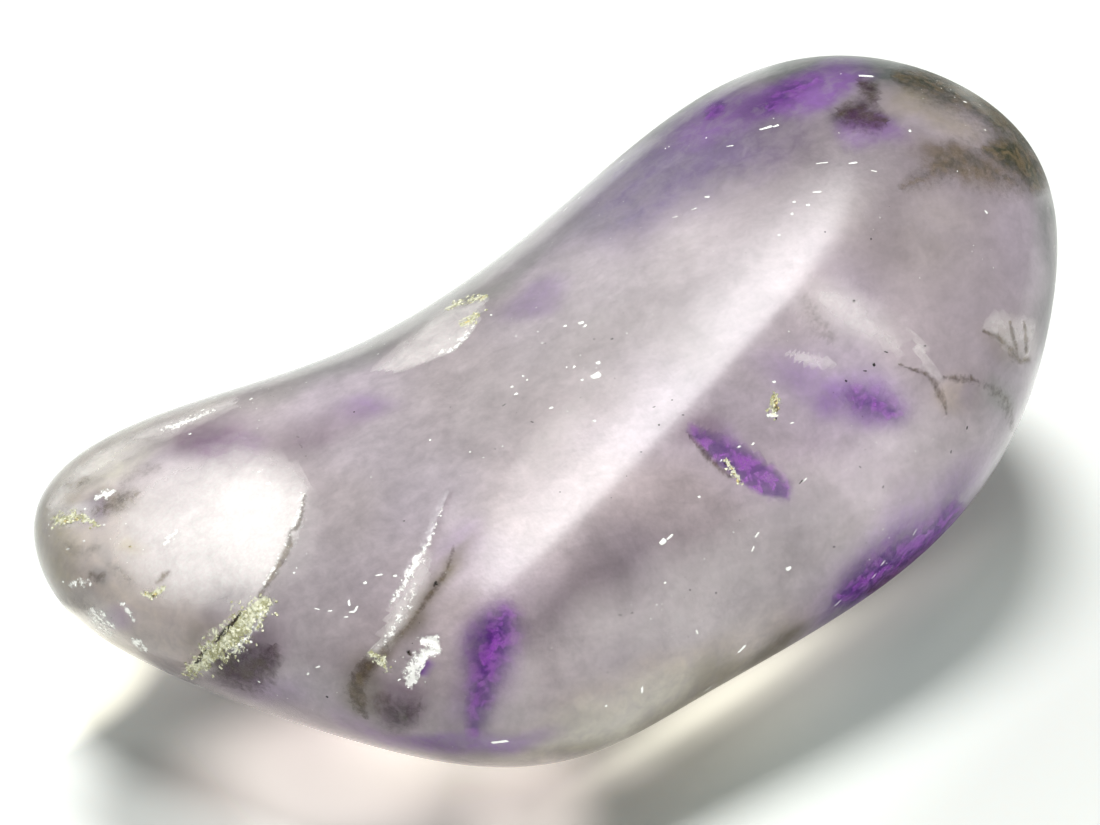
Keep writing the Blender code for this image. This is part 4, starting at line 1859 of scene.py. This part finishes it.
DARK_SPOTS = (
    (436, 584, 2.6, 2, -40), (612, 339, 2, 1.8, 0), (504, 405, 3, 1.2, 40), (532, 422, 2.2, 1.4, -30),
    (654, 407, 2, 1, 20), (659, 425, 1.2, 2.4, 20), (683, 415, 1.8, 1.2, 0), (672, 400, 1.4, 1.2, 0),
    (846, 381, 1.8, 2.4, -30), (865, 371, 2.8, 1.4, 0), (874, 365, 2, 4, 10), (886, 352, 3, 1.4, -10),
    (854, 301, 2, 2.8, 30), (925, 346, 2, 1.8, 0), (967, 428, 1.2, 4.4, -15), (951, 452, 1, 4, -10),
    (860, 467, 2.2, 1.2, -30), (801, 482, 4, 1.6, 40), (825, 232, 1, 2, 0), (871, 239, 1, 2.4, 0),
    (327, 697, 1.8, 3, -10), (740, 481, 2.6, 1.8, -40), (834, 547, 2, 1.6, 0), (690, 590, 1.2, 2, 0),
    (945, 532, 2.4, 1.8, 0), (354, 412, 1.2, 2, 0), (404, 521, 1.4, 1.2, 0), (883, 487, 1, 4, -25),
    (620, 615, 2.6, 1, 0), (632, 613, 2, 1, 10), (716, 593, 1.2, 2.6, 0), (768, 414, 1.2, 3, 10),
    (776, 419, 1.2, 3.4, -10), (594, 339, 1.4, 1, 0), (641, 452, 1.6, 1, 0), (560, 492, 1.2, 1, 0),
)

GOLD_SPOTS = (
    (725, 464, 2.6, 2, 0), (731, 468, 3, 2.2, -40), (734, 474, 2.6, 2.4, 0), (738, 481, 2.8, 2, -50),
    (775, 402, 3.4, 6.5, 0), (774, 397, 2.4, 5, 10), (777, 408, 2.4, 4, -10), (468, 322, 6, 2.8, 20),
    (477, 314, 4, 2.2, 45), (479, 299, 8, 1.8, 15), (468, 304, 5, 1.4, 5), (148, 594, 4, 2.6, -10),
    (155, 595, 3.6, 2.2, 30), (130, 547, 3, 2.2, 0), (75, 520, 6, 3, 10), (66, 522, 4, 3, 0),
)

BACK_WHITE_SPOTS = (
    (590, 412, 4, 3, 20), (612, 396, 2.4, 2, 0), (636, 424, 3, 1.4, 40), (574, 452, 3, 2, -30),
    (584, 486, 2.2, 1.8, 0), (488, 352, 5, 1.4, 12), (470, 346, 3, 1.2, 20), (412, 330, 4, 1.2, -10),
    (380, 402, 2, 1.8, 0), (352, 420, 2.4, 1.6, 30), (330, 370, 6, 1.4, 5), (264, 352, 4, 1.4, -15),
    (232, 420, 2.6, 2.2, 0), (214, 452, 2, 1.6, 0), (180, 510, 5, 1.6, 40), (300, 566, 2.4, 2, 0),
    (402, 590, 4, 1.4, 10), (520, 572, 2.4, 1.8, 0), (660, 540, 5, 1.4, -8), (712, 452, 3, 2, 0),
    (770, 440, 2.2, 1.8, 0), (812, 470, 4, 1.2, 25), (846, 520, 2.4, 2, 0), (902, 436, 3, 1.6, -20),
    (948, 500, 3, 2.4, 0), (976, 520, 2, 1.6, 0), (1010, 486, 3, 2, 30), (1030, 456, 2, 1.6, 0),
    (100, 420, 2.4, 2, 0), (78, 380, 3, 1.4, 60), (140, 300, 5, 1.6, -35), (444, 470, 2, 1.6, 0),
)

BACK_DARK_SPOTS = (
    (556, 410, 2, 3, 10), (548, 500, 1.4, 3, 0), (432, 566, 2.4, 1.6, 0), (446, 571, 2, 1.6, 0),
    (700, 430, 1.8, 1.4, 0), (640, 500, 2, 1, 30), (366, 476, 1.6, 2.4, 0), (300, 400, 1.8, 1.2, 0),
    (160, 400, 1.2, 3, 0), (914, 484, 3, 2, 0), (992, 442, 2, 1.4, 0), (830, 556, 2, 1.4, 0),
)

FLECKS = (
    Flecks("white_flecks", WHITE_GRAIN, WHITE_SPOTS),
    Flecks("dark_flecks", DARK_GRAIN, DARK_SPOTS, plumpness=0.65),
    Flecks("golden_flecks", RUST_GRAIN, GOLD_SPOTS),
    Flecks("white_flecks_behind", WHITE_GRAIN, BACK_WHITE_SPOTS, view=BACK_VIEW),
    Flecks("dark_flecks_behind", DARK_GRAIN, BACK_DARK_SPOTS, plumpness=0.65, view=BACK_VIEW),
)


def direction(heading_deg: float, rise_deg: float) -> Vector:
    """The unit vector at a heading, where 0 is towards +X and 90 towards +Y, and a height above level."""
    level = math.cos(math.radians(rise_deg))
    heading = math.radians(heading_deg)
    return Vector((level * math.cos(heading), level * math.sin(heading), math.sin(math.radians(rise_deg))))


@dataclass(frozen=True)
class Glow:
    """A soft light, as the stone sees it.

    heading_deg 0 is towards +X and 90 towards +Y, and rise_deg is the height above level. The light is
    full within inner_deg of that direction and gone at outer_deg.
    """

    heading_deg: float
    rise_deg: float
    inner_deg: float
    outer_deg: float
    brightness: float

    def share(self, recipe: Recipe, seen: Wire) -> Wire:
        """How bright the light is along a direction.

        Args:
            recipe: The world's tree.
            seen: The direction.

        Returns:
            The brightness.
        """
        way = direction(self.heading_deg, self.rise_deg)
        facing = recipe.node(
            "ShaderNodeVectorMath", {"operation": "DOT_PRODUCT"}, {0: seen, 1: way}, "Value"
        )
        outer = math.cos(math.radians(self.outer_deg))
        inner = math.cos(math.radians(self.inner_deg))
        return facing.stepped(outer, inner, self.brightness)


ROOM_GLOW = Glow(heading_deg=128, rise_deg=15, inner_deg=10, outer_deg=40, brightness=1.2)


@dataclass(frozen=True)
class Lamp:
    """A distant lamp that lights and shades, and is kept out of the polish's reflections.

    heading_deg and rise_deg are as a glow's, and spread_deg is how wide the lamp looks from the stone.
    """

    name: str
    heading_deg: float
    rise_deg: float
    spread_deg: float
    strength: float
    stone_only: bool = False

    def build(self, stone: bpy.types.Collection) -> bpy.types.Object:
        """Makes the lamp.

        Args:
            stone: The stone's pieces, which are all that a lamp for the stone only lights.

        Returns:
            The lamp object.
        """
        data = bpy.data.lights.new(self.name, "SUN")
        data.angle = math.radians(self.spread_deg)
        data.energy = self.strength
        lamp = link(bpy.data.objects.new(self.name, data))
        lamp.rotation_euler = direction(self.heading_deg, self.rise_deg).to_track_quat("Z", "Y").to_euler()
        lamp.visible_glossy = False
        lamp.visible_transmission = False
        if self.stone_only:
            lamp.light_linking.receiver_collection = stone
        return lamp


# Painted light: pools that glow in the floor's own emission, in and beside the stone's shadow.
LIGHT_POOLS = zone_list(
    (P.POOL_PINK, 336, 775, 134, 62, 0, 0.6, 0.6),
    (P.POOL_PINK, 528, 815, 56, 50, 20, 0.46, 0.7),
    (P.POOL_PINK, 570, 768, 70, 20, 0, 0.14, 0.8),
    (P.POOL_WHITE, 752, 684, 130, 17, 31, 0.34, 0.9),
    (P.POOL_WHITE, 708, 702, 110, 13, 30, 0.44, 0.9),
    (P.POOL_WHITE, 778, 702, 105, 30, 31, 0.13, 0.9),
    (P.POOL_PINK, 905, 600, 90, 18, 34, 0.08, 0.9),
    (P.POOL_WHITE, 50, 688, 110, 55, 25, 0.9, 0.3),
    (P.POOL_GREEN, 900, 700, 230, 66, 38, 0.17, 0.8),
    (P.POOL_WHITE, 640, 590, 280, 95, 30, 0.7, 0.4),
)

# Painted shadow: where the floor's colour is darkened, in the stone's shadow and towards the right.
CORE_SHADES = zone_list(
    (P.SMOKE, 175, 815, 90, 50, -15, 0.45, 0.5),
    (P.SMOKE, 476, 772, 100, 34, 0, 0.55, 0.7),
    (P.SMOKE, 1030, 740, 260, 190, 38, 0.1, 0.8),
)

SHADE_LAMPS = (
    Lamp("key_lamp", heading_deg=80, rise_deg=68, spread_deg=22, strength=2.9),
    Lamp("fill_lamp", heading_deg=-75, rise_deg=28, spread_deg=30, strength=1.75, stone_only=True),
)


@dataclass(frozen=True)
class SoftBox:
    """A wide light that only the polish and the quartz see. It is even in front and fades to the back.

    The box stands above the stone, its middle moved by shift_mm. fade_from and fade_to are shares of its
    depth, from the front, and rim is the share over which its edges soften.
    """

    height_mm: float = 300.0
    shift_mm: tuple[float, float] = (0.0, 130.0)
    width_mm: float = 130.0
    depth_mm: float = 380.0
    brightness: float = 8.5
    fade_from: float = 0.12
    fade_to: float = 0.74
    rim: float = 0.07

    def build(self, stone: bpy.types.Collection) -> bpy.types.Object:
        """Makes the light.

        Args:
            stone: The stone's pieces, which are all that the box lights.

        Returns:
            The light object.
        """
        data = bpy.data.lights.new("soft_box", "AREA")
        data.shape = "RECTANGLE"
        data.size = self.width_mm * MM
        data.size_y = self.depth_mm * MM
        data.energy = self.brightness * data.size * data.size_y * math.pi
        recipe = Recipe(data)
        spot = recipe.node("ShaderNodeNewGeometry", output="Parametric")
        across = recipe.node("ShaderNodeSeparateXYZ", None, {0: spot}, 0)
        along = recipe.node("ShaderNodeSeparateXYZ", None, {0: spot}, 1)
        even = across.stepped(0.0, self.rim) * across.stepped(1.0, 1 - self.rim)
        ramp = along.stepped(0.0, self.rim) * along.stepped(self.fade_to, self.fade_from)
        glow = recipe.node("ShaderNodeEmission", None, {"Strength": even * ramp})
        recipe.node("ShaderNodeOutputLight", None, {"Surface": glow}, None)
        box = link(bpy.data.objects.new("soft_box", data))
        box.location = Vector((*self.shift_mm, self.height_mm)) * MM
        box.visible_diffuse = False
        box.light_linking.receiver_collection = stone
        return box


@dataclass(frozen=True)
class Studio:
    """A pale floor in a pale room, with a soft box above, a lamp behind and one in front.

    The pools are painted light, glowing in the floor's own emission where light that comes through the stone
    falls inside its shadow, and the shades are painted shadow, darkening the floor's colour where the shadow
    is darker.
    """

    view: PhotoView
    floor_m: float = 3.0
    paper: Texture = Texture(0.35, 2.0, 0.6)
    paper_roughness: float = 0.8
    room: float = 0.28
    glow: Glow = ROOM_GLOW
    lamps: tuple[Lamp | SoftBox, ...] = (*SHADE_LAMPS, SoftBox())
    pools: tuple[Zone, ...] = LIGHT_POOLS
    shades: tuple[Zone, ...] = CORE_SHADES
    bounces: int = 6
    diffuse_bounces: int = 2

    def share(self, recipe: Recipe, place: Wire, zone: Zone) -> Wire:
        """How much of a zone is at each place of the floor.

        Args:
            recipe: The floor's material.
            place: The shaded place.
            zone: The zone.

        Returns:
            A number from 0 to the zone's strength.
        """
        frame = turned_frame(self.view, zone.turn_deg)
        inputs = {"Vector": place, "Rotation": frame.to_euler()}
        local = recipe.node("ShaderNodeMapping", {"vector_type": "TEXTURE"}, inputs)
        per_mm = Vector((1 / zone.long_px, 1 / zone.short_px, 0.0)) / self.view.mm_per_px
        middle = frame.transposed() @ (self.view.floor_point(zone.x_px, zone.y_px) / MM)
        inputs = {0: local, 1: per_mm, 2: -middle * per_mm}
        centred = recipe.node("ShaderNodeVectorMath", {"operation": "MULTIPLY_ADD"}, inputs)
        reach = recipe.node("ShaderNodeVectorMath", {"operation": "LENGTH"}, {0: centred}, "Value")
        return reach.stepped(1 + zone.edge, 1 - zone.edge, zone.strength)

    def floor(self) -> bpy.types.Object:
        """Makes the floor, with its painted shadow and painted pools of light.

        Returns:
            The floor object.
        """
        half = self.floor_m / 2
        mesh = bpy.data.meshes.new("studio_floor")
        points = [(-half, -half, 0.0), (half, -half, 0.0), (half, half, 0.0), (-half, half, 0.0)]
        mesh.from_pydata(points, [], [(0, 1, 2, 3)])
        recipe = Recipe.material("pale_paper")
        place = recipe.place()
        fibres = recipe.grain(place, self.paper)
        colour = recipe.blend(fibres, Pigment.PAPER.linear(), Pigment.CHALK.linear())
        # Painted shadow: the shades darken the floor's colour.
        for shade in self.shades:
            colour = recipe.vector("SCALE", colour, scale=1.0 - self.share(recipe, place, shade))
        # Painted light: the pools glow in the floor's emission.
        glow = None
        for pool in self.pools:
            share = self.share(recipe, place, pool)
            light = recipe.vector("SCALE", recipe.colour(pool.pigment), scale=share)
            glow = recipe.vector("ADD", glow, light) if glow else light
        inputs = {"Base Color": colour, "Roughness": self.paper_roughness}
        inputs |= {"Emission Color": glow, "Emission Strength": 1.0}
        paper = recipe.finish(inputs)
        paper.cycles.emission_sampling = "NONE"
        mesh.materials.append(paper)
        return link(bpy.data.objects.new("studio_floor", mesh))

    def surroundings(self) -> bpy.types.World:
        """Makes the room's light.

        Returns:
            The world.
        """
        recipe = Recipe(bpy.data.worlds.new("pale_room"))
        seen = recipe.node("ShaderNodeTexCoord", output="Generated")
        brightness = self.glow.share(recipe, seen) + self.room
        inputs = {"Color": Pigment.PAPER.linear(), "Strength": brightness}
        light = recipe.node("ShaderNodeBackground", None, inputs)
        recipe.node("ShaderNodeOutputWorld", None, {"Surface": light}, None)
        return recipe.owner

    def build(self, pieces: Iterable[bpy.types.Object]) -> None:
        """Makes the floor and the light, and chooses the plain way of showing brightness.

        Args:
            pieces: The stone's pieces.
        """
        self.floor()
        bpy.context.scene.world = self.surroundings()
        stone = bpy.data.collections.new("stone_pieces")
        for piece in pieces:
            stone.objects.link(piece)
        for lamp in self.lamps:
            lamp.build(stone)
        bpy.context.scene.view_settings.view_transform = "Standard"
        bpy.context.scene.cycles.max_bounces = self.bounces
        bpy.context.scene.cycles.diffuse_bounces = self.diffuse_bounces
        bpy.context.scene.cycles.glossy_bounces = self.diffuse_bounces


def hand_over(piece: bpy.types.Object) -> None:
    """Lets a piece ride on the stone's body and reports it.

    Args:
        piece: The finished piece.
    """
    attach(piece, BODY_NAME)
    LOG.info("%s: %d triangles", piece.name, triangles(piece))


def main() -> None:
    logging.basicConfig(level=logging.INFO, format="%(name)s: %(message)s")
    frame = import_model()
    PHOTO_VIEW.build()
    pebble = Pebble(frame["nodes"][NODE_NAME], SIDES)
    pebble.tint()
    skin = pebble.skin
    skin.data.materials.clear()
    skin.data.materials.append(QuartzFinish().build())
    skin.data.shade_smooth()
    hand_over(skin)
    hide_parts(NODE_NAME)
    pieces = [skin]
    for part in (MineralSheet(), *CRUMB_BEDS, *FLECKS):
        pieces.append(part.build(pebble))
        hand_over(pieces[-1])
    Studio(PHOTO_VIEW).build(pieces)


if __name__ == "__main__":
    main()
